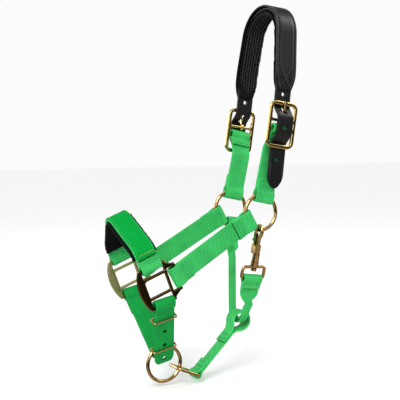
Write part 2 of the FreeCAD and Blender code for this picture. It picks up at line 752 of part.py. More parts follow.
def crown_layer(label, inset, width_name, thickness_name, radius):
    drop = crown_geometry()[1]
    start = WEAVE_RISE + BARS_RUN / 2 + PAD_START
    steps = moved_inward(arch_steps(LEG_RUN - PAD_START, LEG_RUN + drop - PAD_START), inset)
    place = crown_place(start).multiply(Placement(Vector(-inset, 0, 0), Rotation()))
    return strap(label, steps, width_name, thickness_name, place, radius)


crown_strap()
PAD_INSET = (size("leather_thickness") + size("crown_pad_thickness")) / 2 + PLY_GAP
COVER_INSET = -(size("leather_thickness") + size("crown_cover_thickness")) / 2 - PLY_GAP
crown_layer("crown_padding", PAD_INSET, "crown_width", "crown_pad_thickness", PADDING_EDGE)
crown_layer("crown_cover", COVER_INSET, "crown_width", "crown_cover_thickness", COVER_EDGE)


# ---------------------------------------------------------------- noseband

NOSE_FLAP = 4.0
NOSE_LEAD = 3.0
NOSE_CURVE = 20.0
NOSE_LEAN = 46.0
NOSE_TOP = 12.0
OVERLAY_START = 13.0         # overlay and padding start this far above the bars
NOSE_PAD_EDGE = 2.0
OVERLAY_EDGE = 0.4


def nose_leg():
    """Straight length that makes the arch as wide as the squares are apart."""
    lean = math.radians(NOSE_LEAN)
    half = SQUARE_SIDE - PLY / 2
    return (half - NOSE_CURVE * (1 - math.cos(lean)) - NOSE_TOP * math.cos(lean)) / math.sin(lean)


def nose_arch(lead):
    leg = nose_leg()
    up = [line(lead), arc(NOSE_CURVE, NOSE_LEAN), line(leg)]
    down = [line(leg), arc(NOSE_CURVE, NOSE_LEAN), line(lead)]
    return up + [arc(NOSE_TOP, 180 - 2 * NOSE_LEAN)] + down


def noseband_strap():
    reach = eye_reach(0.0, BAR_EYE)
    steps = [line(NOSE_FLAP)] + eye(-1, 0.0, BAR_EYE) + nose_arch(NOSE_LEAD + NOSE_FLAP)
    steps += eye(-1, 0.0, BAR_EYE) + [line(NOSE_FLAP)]
    bar = square_point(NEAR, 0.0, TOP_BAR)
    start = bar + X_AXIS * (PLY / 2) + NOSE_UP * (reach + NOSE_FLAP)
    place = Placement(start, Rotation(X_AXIS * -1, Vector(), NOSE_UP * -1, "ZXY"))
    return strap("noseband_strap", steps, "webbing_width", "webbing_thickness", place,
                 size("webbing_edge_radius"))


def nose_layer(label, inset, width_name, thickness_name, radius):
    reach = eye_reach(0.0, BAR_EYE)
    lead = NOSE_LEAD + NOSE_FLAP + reach - OVERLAY_START
    steps = moved_inward(nose_arch(lead), inset)
    bar = square_point(NEAR, 0.0, TOP_BAR)
    start = bar - X_AXIS * (PLY / 2 + inset) + NOSE_UP * OVERLAY_START
    place = leaning(X_AXIS, NOSE_UP, start)
    return strap(label, steps, width_name, thickness_name, place, radius)


noseband_strap()
NOSE_PAD_INSET = (size("webbing_thickness") + size("nose_pad_thickness")) / 2 + PLY_GAP
OVERLAY_INSET = -(size("webbing_thickness") + size("overlay_thickness")) / 2 - PLY_GAP
nose_layer("noseband_padding", NOSE_PAD_INSET, "nose_pad_width", "nose_pad_thickness", NOSE_PAD_EDGE)
nose_layer("noseband_overlay", OVERLAY_INSET, "overlay_width", "overlay_thickness", OVERLAY_EDGE)


# ---------------------------------------------------------------- chin strap and its ring

CHIN_FREE_END = 77.0         # free end below the near square, lying over the near leg
CHIN_FAR_FLAP = 16.0
CHIN_DIP = 3.6               # length of its eyes on the squares' bars
CHIN_EYE = BAR_EYE + 0.25     # loose, so that the strap can stand askew on its bar
RING_SLACK = 0.2             # room between ring and strap at the bend
CHIN_NEAR_LEG = 74.0         # square's bottom bar to the ring's wire, along the strap
CHIN_HOLES = (7.0, 27.5, 48.0)   # up from the free end
CHIN_UP = swing(-CHIN_TILT)


def chin_frame(lean):
    """Placement at the near square's bottom bar, local z up along the leaning strap."""
    bar = square_point(NEAR, 0.0, -TOP_BAR)
    run = X_AXIS * math.sin(math.radians(lean)) + CHIN_UP * math.cos(math.radians(lean))
    sideways = X_AXIS * math.cos(math.radians(lean)) - CHIN_UP * math.sin(math.radians(lean))
    return Placement(bar, Rotation(sideways, Vector(), run, "ZXY"))


def chin_bend_centre():
    """Centre of the strap's bend round the chin ring's wire."""
    inside = Vector(-PLY / 2 - RING_EYE, 0, -CHIN_NEAR_LEG)
    return chin_frame(CHIN_NEAR_LEAN).multVec(inside)


def chin_far_leg():
    """Lean and straight length of the far leg, from the bend to the far square's bar."""
    span = square_point(FAR, 0.0, -TOP_BAR) - chin_bend_centre()
    distance = span.Length
    offset = RING_EYE + PLY / 2
    lean = math.atan2(-span.x, span.dot(CHIN_UP)) - math.asin(offset / distance)
    return math.degrees(lean), math.sqrt(distance ** 2 - offset ** 2)


def chin_steps():
    """Free end up to the near square, down round the chin ring, up to the far square."""
    bar_eye = eye_reach(CHIN_DIP, CHIN_EYE)
    far_lean, far_run = chin_far_leg()
    steps = [line(CHIN_FREE_END)] + eye(1, CHIN_DIP, CHIN_EYE)
    steps += [line(CHIN_NEAR_LEG - bar_eye), arc(RING_EYE, CHIN_NEAR_LEAN + far_lean - 180)]
    steps += [line(far_run - bar_eye)] + eye(1, CHIN_DIP, CHIN_EYE) + [line(CHIN_FAR_FLAP)]
    return steps


def chin_start():
    bar_eye = eye_reach(CHIN_DIP, CHIN_EYE)
    foot = Vector(PLY / 2, 0, -bar_eye - CHIN_FREE_END)
    return chin_frame(CHIN_NEAR_LEAN).multiply(Placement(foot, Rotation()))


def chin_strap():
    body = strap("chin_strap", chin_steps(), "webbing_width", "webbing_thickness", chin_start(),
                 size("webbing_edge_radius"))
    holes = new_sketch(body, "chin_holes", "YZ_Plane", Vector(0, 0, PLY_GAP / 2))
    for height in CHIN_HOLES:
        draw_circle(holes, "hole_diameter", (0.0, height))
    doc.recompute()
    cut = body.newObject("PartDesign::Pocket", "chin_holes_cut")
    cut.Profile = holes
    cut.SideType = "Symmetric"
    cut.Length = size("webbing_thickness")
    doc.recompute()
    return body


chin_strap()


CHIN_RING_DROP = circle_of_ring() - RING_DIP - RING_SLACK
CHIN_RING_CENTRE = chin_bend_centre() - CHIN_UP * CHIN_RING_DROP
ring("chin_ring", Placement(CHIN_RING_CENTRE, SIDEWAYS))


# ---------------------------------------------------------------- keepers

KEEPER_GAP = 0.9
WIRE_SOFTEN = 0.45           # of the keeper wire
UPPER_KEEPER = 21.0          # below the square's bottom bar, along the strap
LOWER_KEEPER = 65.0


def keeper(label, down):
    """A wire loop round both plies of the chin strap's near leg."""
    body = doc.addObject("PartDesign::Body", label)
    outline = new_sketch(body, label + "_outline", "XY_Plane")
    deep = 2 * size("webbing_thickness") + PLY_GAP + 2 * KEEPER_GAP
    wide = size("webbing_width") + 2 * KEEPER_GAP
    wire = size("keeper_wire")
    draw_rectangle(outline, deep + 2 * wire, wide + 2 * wire, (0.0, 0.0), None,
                   "Params.webbing_width + 2 * Params.keeper_wire + %g mm" % (2 * KEEPER_GAP),
                   wire + KEEPER_GAP)
    draw_rectangle(outline, deep, wide, (0.0, 0.0), None,
                   "Params.webbing_width + %g mm" % (2 * KEEPER_GAP), KEEPER_GAP)
    plate = pad_both_ways(body, label + "_wire", outline, "keeper_wire")
    soften(body, label + "_rounded", plate, WIRE_SOFTEN * wire)
    body.Placement = chin_frame(CHIN_NEAR_LEAN).multiply(
        Placement(Vector(0, 0, -down), Rotation()))
    return body


keeper("upper_keeper", UPPER_KEEPER)
keeper("lower_keeper", LOWER_KEEPER)


# ---------------------------------------------------------------- jaw link and jaw strap

LINK_ROOM = 1.6              # beside the webbing, within the link
LINK_SLACK = 3.0             # link's front end from the ring's wire
LINK_CORNER = 2.0            # inner corners
LINK_SOFTEN = 0.35           # of the link's wire
LINK_EYE_GAP = 0.6
JAW_FLAP = 14.0
JAW_LOOP = 11.0              # radius of the loop the throat strap runs through
JAW_LOOP_PART = 14.0         # bend where that loop opens


LINK_RUN = swing(90.0 + LINK_DROP)
LINK_INNER = size("jaw_webbing_width") + 2 * LINK_ROOM
LINK_WIDE = LINK_INNER + 2 * size("link_wire")
LINK_FRONT = circle_of_ring() - size("ring_wire_diameter") / 2 - size("link_wire") / 2
LINK_START = CHIN_RING_CENTRE + LINK_RUN * (LINK_FRONT - LINK_SLACK)
LINK_SPAN = size("link_length") - size("link_wire")


def jaw_link():
    """An oblong wire link; local x runs along it from the front bar, y across it."""
    body = doc.addObject("PartDesign::Body", "jaw_link")
    outline = new_sketch(body, "link_outline", "XY_Plane")
    wire = size("link_wire")
    middle = LINK_SPAN / 2
    draw_rectangle(outline, LINK_SPAN + wire, LINK_WIDE, (middle, 0.0), "Params.link_length",
                   None, wire + LINK_CORNER + 1.0)
    draw_rectangle(outline, LINK_SPAN - wire, LINK_INNER, (middle, 0.0),
                   "Params.link_length - 2 * Params.link_wire", None, LINK_CORNER)
    plate = pad_both_ways(body, "link_wire_bar", outline, "link_wire")
    soften(body, "link_rounded", plate, LINK_SOFTEN * wire)
    body.Placement = Placement(LINK_START, Rotation(LINK_RUN, X_AXIS, Vector(), "XYZ"))
    return body


jaw_link()

LINK_END = LINK_START + LINK_RUN * LINK_SPAN
LINK_EYE = (size("link_wire") + size("webbing_thickness")) / 2 + LINK_EYE_GAP
JAW_RUN = swing(90.0 - JAW_RISE)
JAW_THICK = X_AXIS.cross(JAW_RUN)
JAW_LENGTH = 85.2            # link's end bar to the middle of the throat loop


def loop_steps(turn):
    """The strap opens into a round loop and closes again."""
    spread = JAW_LOOP - PLY / 2
    bend = math.degrees(math.acos(1 - spread / 2 / JAW_LOOP_PART))
    part_plies = [arc(JAW_LOOP_PART, -turn * bend), arc(JAW_LOOP_PART, turn * bend)]
    close_plies = [arc(JAW_LOOP_PART, turn * bend), arc(JAW_LOOP_PART, -turn * bend)]
    return part_plies + [arc(JAW_LOOP, turn * 180)] + close_plies


def loop_reach():
    spread = JAW_LOOP - PLY / 2
    return 2 * JAW_LOOP_PART * math.sin(math.acos(1 - spread / 2 / JAW_LOOP_PART))


def jaw_strap():
    """From the jaw link's end bar up to the loop that carries the throat strap."""
    main = JAW_LENGTH - eye_reach(0.0, LINK_EYE) - loop_reach()
    steps = [line(JAW_FLAP)] + loop_steps(1) + [line(main)]
    steps += eye(1, 0.0, LINK_EYE) + [line(JAW_FLAP)]
    start = Vector(PLY / 2, 0, JAW_LENGTH - loop_reach() - JAW_FLAP)
    place = Placement(LINK_END, Rotation(JAW_THICK, Vector(), JAW_RUN, "ZXY"))
    place = place.multiply(Placement(start, Rotation()))
    return strap("jaw_strap", steps, "jaw_webbing_width", "webbing_thickness", place,
                 size("webbing_edge_radius"))


jaw_strap()
JAW_LOOP_CENTRE = LINK_END + JAW_RUN * JAW_LENGTH


# ---------------------------------------------------------------- snap

SNAP_LEAN = 12.0             # the snap hangs towards the middle by this
HOOK_RADIUS = 6.4            # centre line of the hook's round end
HOOK_EASE = 9.4              # radius of the bend that straightens the shank again
HOOK_TURN = 205.0
SHANK_RUN = 20.0
SHANK_BEND = 10.0
SHANK_KINK = 35.0
SNAP_HEAD_DIAMETER = 7.0
SNAP_HEAD_HEIGHT = 3.0
POST_DIAMETER = 3.6
POST_LENGTH = 9.0
COLLAR_DIAMETER = 9.5
COLLAR_HEIGHT = 6.5
EYE_WIDE = 34.0
EYE_TALL = 18.0
EYE_CORNER = 5.0
EYE_INNER_CORNER = 1.6
EYE_ROUND = 1.1
COLLAR_GAP = 0.4             # between the barrel and the collar
COLLAR_INTO_EYE = 1.5        # collar runs down into the eye's top bar by this
POST_GAP = 0.3
SNAP_BARREL_DIAMETER = 8.6
SNAP_BARREL_LENGTH = 9.0
BARREL_FOOT = -6.0
HOUSING_WIDE = 8.4           # block on the shank that carries the gate
HOUSING_BACK = 1.0
HOUSING_FRONT = -7.2
HOUSING_LOW = 3.0
HOUSING_HIGH = 14.0
HOUSING_FLOOR = 2.0
CUT_BEYOND = 2.0             # cuts run this far past the faces they open
GATE_WIDE = 4.6
GATE_SLOT = 5.2
GATE_SLOT_BACK = -2.3
GATE_PIVOT = (-4.6, 8.0)
GATE_THICK = 3.2
GATE_SEAT = 0.5              # gap between gate and hook's nose
GATE_SET = 0.4               # gate's tip, inside the nose's centre line
GATE_TIP_CORNER = 1.55
PIN_DIAMETER = 2.0
PIN_GAP = 0.1
SEAT_WIDE = 4.4              # the leaf spring's pocket in the housing
SEAT_TALL = 4.4
SEAT_UP = 11.2
SEAT_DEPTH = 2.4
LEAF_GAP = 0.25              # leaf's centre line from the back of its seat
LEAF_FOOT = 9.5
LEAF_BACK = 2.6
LEAF_BEND = 0.8
LEAF_TURN = 150.0
LEAF_FRONT = 2.0
THUMB_LONG = 4.5
THUMB_UP = 0.62              # of the way from pivot to tip
THUMB_NARROWER = 0.4


def hook_steps():
    """From the foot of the shank up and over the hook to its nose."""
    return [line(SHANK_RUN), arc(SHANK_BEND, -SHANK_KINK), arc(HOOK_EASE, SHANK_KINK),
            arc(HOOK_RADIUS, HOOK_TURN)]


def hook_centre():
    steps = hook_steps()
    place, heading = walk(steps[:-1])[:2]
    angle = math.radians(heading)
    return Vector(place[0] - HOOK_RADIUS * math.sin(angle), 0,
                  place[1] + HOOK_RADIUS * math.cos(angle))


RING_FOOT = Vector(RING_SIDE, 0, -circle_of_ring())
SNAP_ROTATION = Rotation(Vector(0, 1, 0), SNAP_LEAN)
SNAP_SLACK = 1.2             # the ring's wire sits this much above the hook's centre
SNAP_ORIGIN = RING_FOOT - SNAP_ROTATION.multVec(hook_centre() + Vector(0, 0, SNAP_SLACK))
SNAP_FORWARD = Placement(Vector(), Rotation(X_AXIS, -SNAP_TILT))
SNAP_PLACE = SNAP_FORWARD.multiply(Placement(SNAP_ORIGIN, SNAP_ROTATION))


def plain_circle(sketch, radius, centre):
    """A circle held by its centre and its radius."""
    circle = Part.Circle(Vector(*centre, 0), Vector(0, 0, 1), radius)
    edge = sketch.addGeometry(circle, False)
    sketch.addConstraint(Sketcher.Constraint("DistanceX", -1, 1, edge, 3, centre[0]))
    sketch.addConstraint(Sketcher.Constraint("DistanceY", -1, 1, edge, 3, centre[1]))
    sketch.addConstraint(Sketcher.Constraint("Radius", edge, radius))


def cylinder(body, name, diameter, height, foot):
    """An upright round boss added to a body."""
    sketch = new_sketch(body, name + "_outline", "XY_Plane", Vector(0, 0, foot))
    circle = Part.Circle(Vector(), Vector(0, 0, 1), diameter / 2)
    edge = sketch.addGeometry(circle, False)
    sketch.addConstraint(Sketcher.Constraint("Coincident", edge, 3, -1, 1))
    sketch.addConstraint(Sketcher.Constraint("Diameter", edge, diameter))
    doc.recompute()
    pad = body.newObject("PartDesign::Pad", name)
    pad.Profile = sketch
    pad.Length = height
    doc.recompute()
    return pad


def snap_body():
    """Hook, shank and the swivel post with its head."""
    body = doc.addObject("PartDesign::Body", "snap_body")
    sweep(body, "snap_hook", hook_steps(), "snap_wire", None, 0.0)
    cylinder(body, "snap_barrel", SNAP_BARREL_DIAMETER, SNAP_BARREL_LENGTH, BARREL_FOOT)
    cylinder(body, "snap_post", POST_DIAMETER, POST_LENGTH, BARREL_FOOT - POST_LENGTH)
    cylinder(body, "snap_head", SNAP_HEAD_DIAMETER, SNAP_HEAD_HEIGHT,
             BARREL_FOOT - POST_LENGTH - SNAP_HEAD_HEIGHT)
    block = new_sketch(body, "housing_outline", "XZ_Plane")
    middle = ((HOUSING_BACK + HOUSING_FRONT) / 2, (HOUSING_LOW + HOUSING_HIGH) / 2)
    draw_rectangle(block, HOUSING_BACK - HOUSING_FRONT, HOUSING_HIGH - HOUSING_LOW, middle)
    housing = body.newObject("PartDesign::Pad", "housing")
    housing.Profile = block
    housing.SideType = "Symmetric"
    housing.Length = HOUSING_WIDE
    doc.recompute()
    slot = new_sketch(body, "gate_slot_outline", "XZ_Plane")
    low = HOUSING_LOW + HOUSING_FLOOR
    front = HOUSING_FRONT - CUT_BEYOND
    high = HOUSING_HIGH + CUT_BEYOND
    middle = ((GATE_SLOT_BACK + front) / 2, (low + high) / 2)
    draw_rectangle(slot, GATE_SLOT_BACK - front, high - low, middle)
    pocket = body.newObject("PartDesign::Pocket", "gate_slot")
    pocket.Profile = slot
    pocket.SideType = "Symmetric"
    pocket.Length = GATE_SLOT
    doc.recompute()
    bore = new_sketch(body, "pin_bore_outline", "XZ_Plane")
    plain_circle(bore, PIN_DIAMETER / 2 + PIN_GAP / 2, GATE_PIVOT)
    pocket = body.newObject("PartDesign::Pocket", "pin_bore")
    pocket.Profile = bore
    pocket.SideType = "Symmetric"
    pocket.Length = HOUSING_WIDE + CUT_BEYOND
    doc.recompute()
    seat = new_sketch(body, "spring_seat_outline", "YZ_Plane", Vector(0, 0, GATE_SLOT_BACK))
    draw_rectangle(seat, SEAT_WIDE, SEAT_TALL, (0.0, SEAT_UP))
    pocket = body.newObject("PartDesign::Pocket", "spring_seat")
    pocket.Profile = seat
    pocket.SideType = "Symmetric"
    pocket.Length = 2 * SEAT_DEPTH
    doc.recompute()
    body.Placement = SNAP_PLACE
    return body


def gate_tip():
    """Where the gate meets the hook's nose, in the snap's own XZ plane."""
    place = walk(hook_steps())[0]
    return place[0] + GATE_SET, place[1] - GATE_THICK / 2 - GATE_SEAT


def snap_gate():
    """The sprung gate: a bar from its pivot to the hook's nose, with a thumb piece."""
    body = doc.addObject("PartDesign::Body", "snap_gate")
    tip = gate_tip()
    long = math.hypot(tip[0] - GATE_PIVOT[0], tip[1] - GATE_PIVOT[1])
    outline = new_sketch(body, "gate_outline", "XZ_Plane")
    draw_rectangle(outline, GATE_THICK, long + GATE_THICK, (0.0, long / 2), None, None,
                   GATE_TIP_CORNER)
    bar = body.newObject("PartDesign::Pad", "gate_bar")
    bar.Profile = outline
    bar.SideType = "Symmetric"
    bar.Length = GATE_WIDE
    doc.recompute()
    thumb = new_sketch(body, "thumb_outline", "XZ_Plane")
    draw_rectangle(thumb, THUMB_LONG, GATE_THICK, (-THUMB_LONG / 2, long * THUMB_UP))
    stub = body.newObject("PartDesign::Pad", "thumb")
    stub.Profile = thumb
    stub.SideType = "Symmetric"
    stub.Length = GATE_WIDE - THUMB_NARROWER
    doc.recompute()
    bore = new_sketch(body, "gate_bore_outline", "XZ_Plane")
    plain_circle(bore, PIN_DIAMETER / 2 + PIN_GAP, (0.0, 0.0))
    pocket = body.newObject("PartDesign::Pocket", "gate_bore")
    pocket.Profile = bore
    pocket.SideType = "Symmetric"
    pocket.Length = GATE_WIDE + CUT_BEYOND
    doc.recompute()
    lean = math.degrees(math.atan2(tip[0] - GATE_PIVOT[0], tip[1] - GATE_PIVOT[1]))
    pivot = Vector(GATE_PIVOT[0], 0, GATE_PIVOT[1])
    body.Placement = SNAP_PLACE.multiply(Placement(pivot, Rotation(Vector(0, 1, 0), lean)))
    return body


def snap_gate_pin():
    body = doc.addObject("PartDesign::Body", "snap_gate_pin")
    outline = new_sketch(body, "pin_outline", "XZ_Plane")
    plain_circle(outline, PIN_DIAMETER / 2, (0.0, 0.0))
    pin = body.newObject("PartDesign::Pad", "pin")
    pin.Profile = outline
    pin.SideType = "Symmetric"
    pin.Length = HOUSING_WIDE
    doc.recompute()
    pivot = Vector(GATE_PIVOT[0], 0, GATE_PIVOT[1])
    body.Placement = SNAP_PLACE.multiply(Placement(pivot, Rotation()))
    return body


def snap_spring():
    """A bent leaf in the housing's seat: up its back wall, over and down to the gate."""
    steps = [line(LEAF_BACK), arc(LEAF_BEND, LEAF_TURN), line(LEAF_FRONT)]
    foot = Placement(Vector(GATE_SLOT_BACK + SEAT_DEPTH - LEAF_GAP, 0, LEAF_FOOT), Rotation())
    return strap("snap_spring", steps, "spring_leaf_width", "spring_leaf_thickness",
                 SNAP_PLACE.multiply(foot))


snap_body()
snap_gate()
snap_gate_pin()
snap_spring()


def snap_eye():
    """The swivel eye: a wide slot for webbing under a collar round the post."""
    body = doc.addObject("PartDesign::Body", "snap_eye")
    bar = size("eye_bar")
    collar_foot = BARREL_FOOT - COLLAR_GAP - COLLAR_HEIGHT
    frame_top = collar_foot + COLLAR_INTO_EYE
    outline = new_sketch(body, "eye_outline", "YZ_Plane")
    centre = frame_top - EYE_TALL / 2
    draw_rectangle(outline, EYE_WIDE, EYE_TALL, (0.0, centre), None, None, EYE_CORNER)
    draw_rectangle(outline, EYE_WIDE - 2 * bar, EYE_TALL - 2 * bar, (0.0, centre), None, None,
                   EYE_INNER_CORNER)
    plate = pad_both_ways(body, "eye_plate", outline, "eye_bar")
    soften(body, "eye_rounded", plate, EYE_ROUND)
    cylinder(body, "eye_collar", COLLAR_DIAMETER, COLLAR_HEIGHT, collar_foot)
    bore = new_sketch(body, "eye_bore_outline", "XY_Plane", Vector(0, 0, BARREL_FOOT))
    plain_circle(bore, POST_DIAMETER / 2 + POST_GAP, (0.0, 0.0))
    doc.recompute()
    cut = body.newObject("PartDesign::Pocket", "eye_bore")
    cut.Profile = bore
    cut.Length = COLLAR_HEIGHT + bar
    doc.recompute()
    body.Placement = SNAP_PLACE
    return body


snap_eye()
EYE_TOP = BARREL_FOOT - COLLAR_GAP - COLLAR_HEIGHT + COLLAR_INTO_EYE
EYE_BAR_DOWN = EYE_TOP - EYE_TALL + size("eye_bar") / 2
EYE_BAR = SNAP_PLACE.multVec(Vector(0, 0, EYE_BAR_DOWN))


# ---------------------------------------------------------------- throat strap

THROAT_NEAR_FLAP = 4.0
THROAT_NEAR_SLACK = 0.3      # the throat strap's eyes are looser than the others
THROAT_FAR_SLACK = 0.8
THROAT_NEAR_EYE = BAR_EYE + THROAT_NEAR_SLACK
THROAT_FAR_EYE = RING_EYE + THROAT_FAR_SLACK
THROAT_FAR_FLAP = 12.0
THROAT_BEND = 16.0           # turn through the jaw strap's loop
THROAT_NEAR_WIDE = 9.0       # single webbing at each end before it lies folded
THROAT_FAR_WIDE = 22.0
FOLD_OVERLAP = 2.0           # folded run enters the full-width ends by this
FOLDED_EDGE = 1.8


FAR_ANGLE = math.radians(THROAT_FAR_ANGLE)
THROAT_HOLD = Vector(-RING_SIDE, RING_EYE_MIDDLE * math.sin(FAR_ANGLE),
                     -RING_EYE_MIDDLE * math.cos(FAR_ANGLE))
THROAT_TILT = math.degrees(math.atan2(THROAT_HOLD.y - EYE_BAR.y, THROAT_HOLD.z - EYE_BAR.z))
THROAT_PLANE = Placement(THROAT_HOLD, Rotation(X_AXIS, -THROAT_TILT))


def in_throat_plane(point):
    """A point of the frame as (across, up) in the plane of the throat strap."""
    local = THROAT_PLANE.inverse().multVec(point)
    return local.x, local.z


def throat_leg(hold, centre, hand):
    """Lean and straight length of a leg tangent to the bottom bend."""
    across = hand * (hold[0] - centre[0])
    up = hold[1] - centre[1]
    distance = math.hypot(across, up)
    offset = THROAT_BEND + PLY / 2
    lean = math.atan2(across, up) - math.asin(offset / distance)
    return lean, math.sqrt(distance ** 2 - offset ** 2)


def throat_end(label, hold, hand, lean, flap, wide, dip, radius, width_name):
    """An end of flat webbing that passes round a bar or a ring's wire at `hold`."""
    reach = eye_reach(dip, radius)
    steps = [line(flap)] + eye(1, dip, radius) + [line(wide)]
    if hand == FAR:
        steps = mirrored(steps)
    turn = Placement(Vector(hold[0], 0, hold[1]),
                     Rotation(Vector(0, 1, 0), hand * math.degrees(lean)))
    start = Placement(Vector(hand * PLY / 2, 0, -reach - flap), Rotation())
    return strap(label, steps, width_name, "webbing_thickness",
                 THROAT_PLANE.multiply(turn).multiply(start), size("webbing_edge_radius"))


def throat_strap():
    """From the snap's eye down through the jaw loop and up to the far ring."""
    near_hold = in_throat_plane(EYE_BAR)
    far_hold = (0.0, 0.0)
    loop = in_throat_plane(JAW_LOOP_CENTRE)
    centre = (loop[0], loop[1] + THROAT_BEND)
    near_lean, near_run = throat_leg(near_hold, centre, NEAR)
    far_lean, far_run = throat_leg(far_hold, centre, FAR)
    near_reach = eye_reach(0.0, THROAT_NEAR_EYE)
    far_reach = eye_reach(RING_DIP, THROAT_FAR_EYE)
    near_end = throat_end("throat_near_end", near_hold, NEAR, near_lean, THROAT_NEAR_FLAP,
                          THROAT_NEAR_WIDE, 0.0, THROAT_NEAR_EYE, "webbing_width")
    far_end = throat_end("throat_far_end", far_hold, FAR, far_lean, THROAT_FAR_FLAP,
                         THROAT_FAR_WIDE, RING_DIP, THROAT_FAR_EYE, "folded_webbing_width")
    turn = 180 - math.degrees(near_lean + far_lean)
    skip = near_reach + THROAT_NEAR_WIDE - FOLD_OVERLAP
    near_straight = near_run - skip
    far_straight = far_run - far_reach - THROAT_FAR_WIDE + FOLD_OVERLAP
    steps = [line(near_straight), arc(THROAT_BEND, turn), line(far_straight)]
    frame = Placement(Vector(near_hold[0], 0, near_hold[1]),
                      Rotation(Vector(0, 1, 0), math.degrees(near_lean)))
    start = Placement(Vector(-PLY / 2, 0, -skip), Rotation(X_AXIS, 180))
    folded = strap("throat_folded_run", steps, "folded_webbing_width",
                   "folded_webbing_thickness", THROAT_PLANE.multiply(frame).multiply(start),
                   FOLDED_EDGE)
    whole = doc.addObject("Part::MultiFuse", "throat_strap")
    whole.Shapes = [near_end, folded, far_end]
    doc.recompute()
    return whole


throat_strap()


# ---------------------------------------------------------------- writing

HELPERS = ("throat_near_end", "throat_folded_run", "throat_far_end")

doc.recompute()
for item in doc.Objects:
    if "Invalid" in item.State or "Error" in item.State:
        raise RuntimeError("%s: %s" % (item.Name, item.State))

os.makedirs("parts", exist_ok=True)
kinds = ("PartDesign::Body", "Part::MultiFuse")
for item in doc.Objects:
    if item.TypeId not in kinds or item.Label in HELPERS:
        continue
    shape = item.Shape
    if shape.isNull() or not shape.isValid() or shape.Volume <= 0:
        raise RuntimeError("bad shape: " + item.Label)
    shape.exportStep("parts/%s.step" % item.Label)
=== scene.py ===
import json
import math
import random

import bmesh
import bpy
from mathutils import Matrix, Vector
from mathutils.kdtree import KDTree


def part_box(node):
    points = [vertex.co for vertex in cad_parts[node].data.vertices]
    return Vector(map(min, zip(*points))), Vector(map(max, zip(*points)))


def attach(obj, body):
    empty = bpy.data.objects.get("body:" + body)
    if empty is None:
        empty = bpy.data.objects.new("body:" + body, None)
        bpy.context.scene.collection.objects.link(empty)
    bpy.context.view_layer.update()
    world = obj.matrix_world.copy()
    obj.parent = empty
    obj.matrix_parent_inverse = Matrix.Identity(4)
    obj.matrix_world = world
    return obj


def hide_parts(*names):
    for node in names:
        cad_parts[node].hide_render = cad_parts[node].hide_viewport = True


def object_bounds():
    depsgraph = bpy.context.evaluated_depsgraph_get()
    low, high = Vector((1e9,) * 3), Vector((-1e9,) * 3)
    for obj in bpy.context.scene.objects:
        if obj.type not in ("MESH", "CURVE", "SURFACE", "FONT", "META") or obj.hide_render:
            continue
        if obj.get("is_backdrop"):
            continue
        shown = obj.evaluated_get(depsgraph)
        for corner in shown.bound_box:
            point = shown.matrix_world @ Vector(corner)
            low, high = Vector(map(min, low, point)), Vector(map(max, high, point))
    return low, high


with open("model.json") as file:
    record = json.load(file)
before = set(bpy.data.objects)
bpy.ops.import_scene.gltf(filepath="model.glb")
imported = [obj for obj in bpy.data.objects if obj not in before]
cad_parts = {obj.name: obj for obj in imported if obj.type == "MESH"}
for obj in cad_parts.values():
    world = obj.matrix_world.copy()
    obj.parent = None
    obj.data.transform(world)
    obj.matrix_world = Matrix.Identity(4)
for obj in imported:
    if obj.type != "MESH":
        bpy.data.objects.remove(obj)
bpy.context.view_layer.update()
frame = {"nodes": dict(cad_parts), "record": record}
random.seed(7)

MM = 0.001
NEAR = 1
FAR = -1
X_AXIS = Vector((1, 0, 0))
BODY_OF_NODE = {node: body for body, nodes in frame["record"]["behaviour"]["bodies"].items()
                for node in nodes}

# ---------------------------------------------------------------- sizes, in millimetres
# (angles in degrees, but ARC_STEP in radians; CAMERA_DISTANCE and FLOOR_SIZE in metres)

WEBBING_WIDTH = 25.4
WEBBING_THICK = 2.4
JAW_WIDTH = 19.0
LAYER_GAP = 0.2
PLY = WEBBING_THICK + LAYER_GAP
RING_RADIUS = 21.25
RING_EYE = 3.9
BAR_EYE = 4.0
CHIN_EYE = 4.25
CROSS_EYE = 4.0
LINK_EYE = 3.55
THROAT_NEAR_EYE = 4.3
THROAT_FAR_EYE = 4.7
BEND = 6.0
RING_DIP = 4.7
BAR_DIP = 3.4
CHIN_DIP = 3.6
RING_HOLD = RING_RADIUS - 2.15
BILLET_TILT = 12.0
CROWN_TILT = 6.0
NOSE_TILT = 22.0
CHIN_TILT = 12.5
CHIN_NEAR_LEAN = 25.5
JAW_RISE = 44.8
THROAT_FAR_ANGLE = 8.0
SQUARE_TILT = 21.0
SQUARE_BACK = -140.0
SQUARE_UP = -76.0
TOP_BAR = 23.0
BACK_BAR = 26.2
CHEEK_RING_FLAP = 12.0
CHEEK_SQUARE_FLAP = 10.0
BILLET_FLAP = 12.0
BILLET_SLOPE = 30.0
BILLET_BEND = 15.0
BILLET_TOP_FLAP = 9.0
BILLET_SLANT = 15.0
NEAR_BILLET_RUN = 45.0
FAR_BILLET_RUN = 37.5
LEATHER_WIDTH = 22.0
LEATHER_THICK = 3.2
CROWN_WIDTH = 29.0
CROWN_PAD = 4.0
CROWN_TAPER = 22.0
COVER_THICK = 1.6
PANEL_HALF = 9.6
PANEL_TALL = 0.8
BEAD_OUT = 13.2
COVER_SEAM = 2.2
PANEL_SEAM = 8.6
WEAVE_RADIUS = 8.0
WEAVE_ANGLE = 45.0
BEHIND_FRAME = 3.75
BEFORE_BARS = 7.1
BARS_RUN = 14.4
NEAR_TIP_RUN = 51.0
FAR_TIP_RUN = 43.5
LEG_RUN = 29.0
LEG_CURVE = 150.0
LEG_LEAN = 8.0
LEG_SLANT = 36.0
PAD_START = 17.0
LINING_ROW = 3.6
LINING_ROWS = 3
LINING_START = 6.0
LINING_STEP = 4.0
TONGUE_HOLE_UP = 14.6
TONGUE_STRETCH = 9.0
HOLE_SPACING = 22.0
MIDDLE_HOLE = 3.2
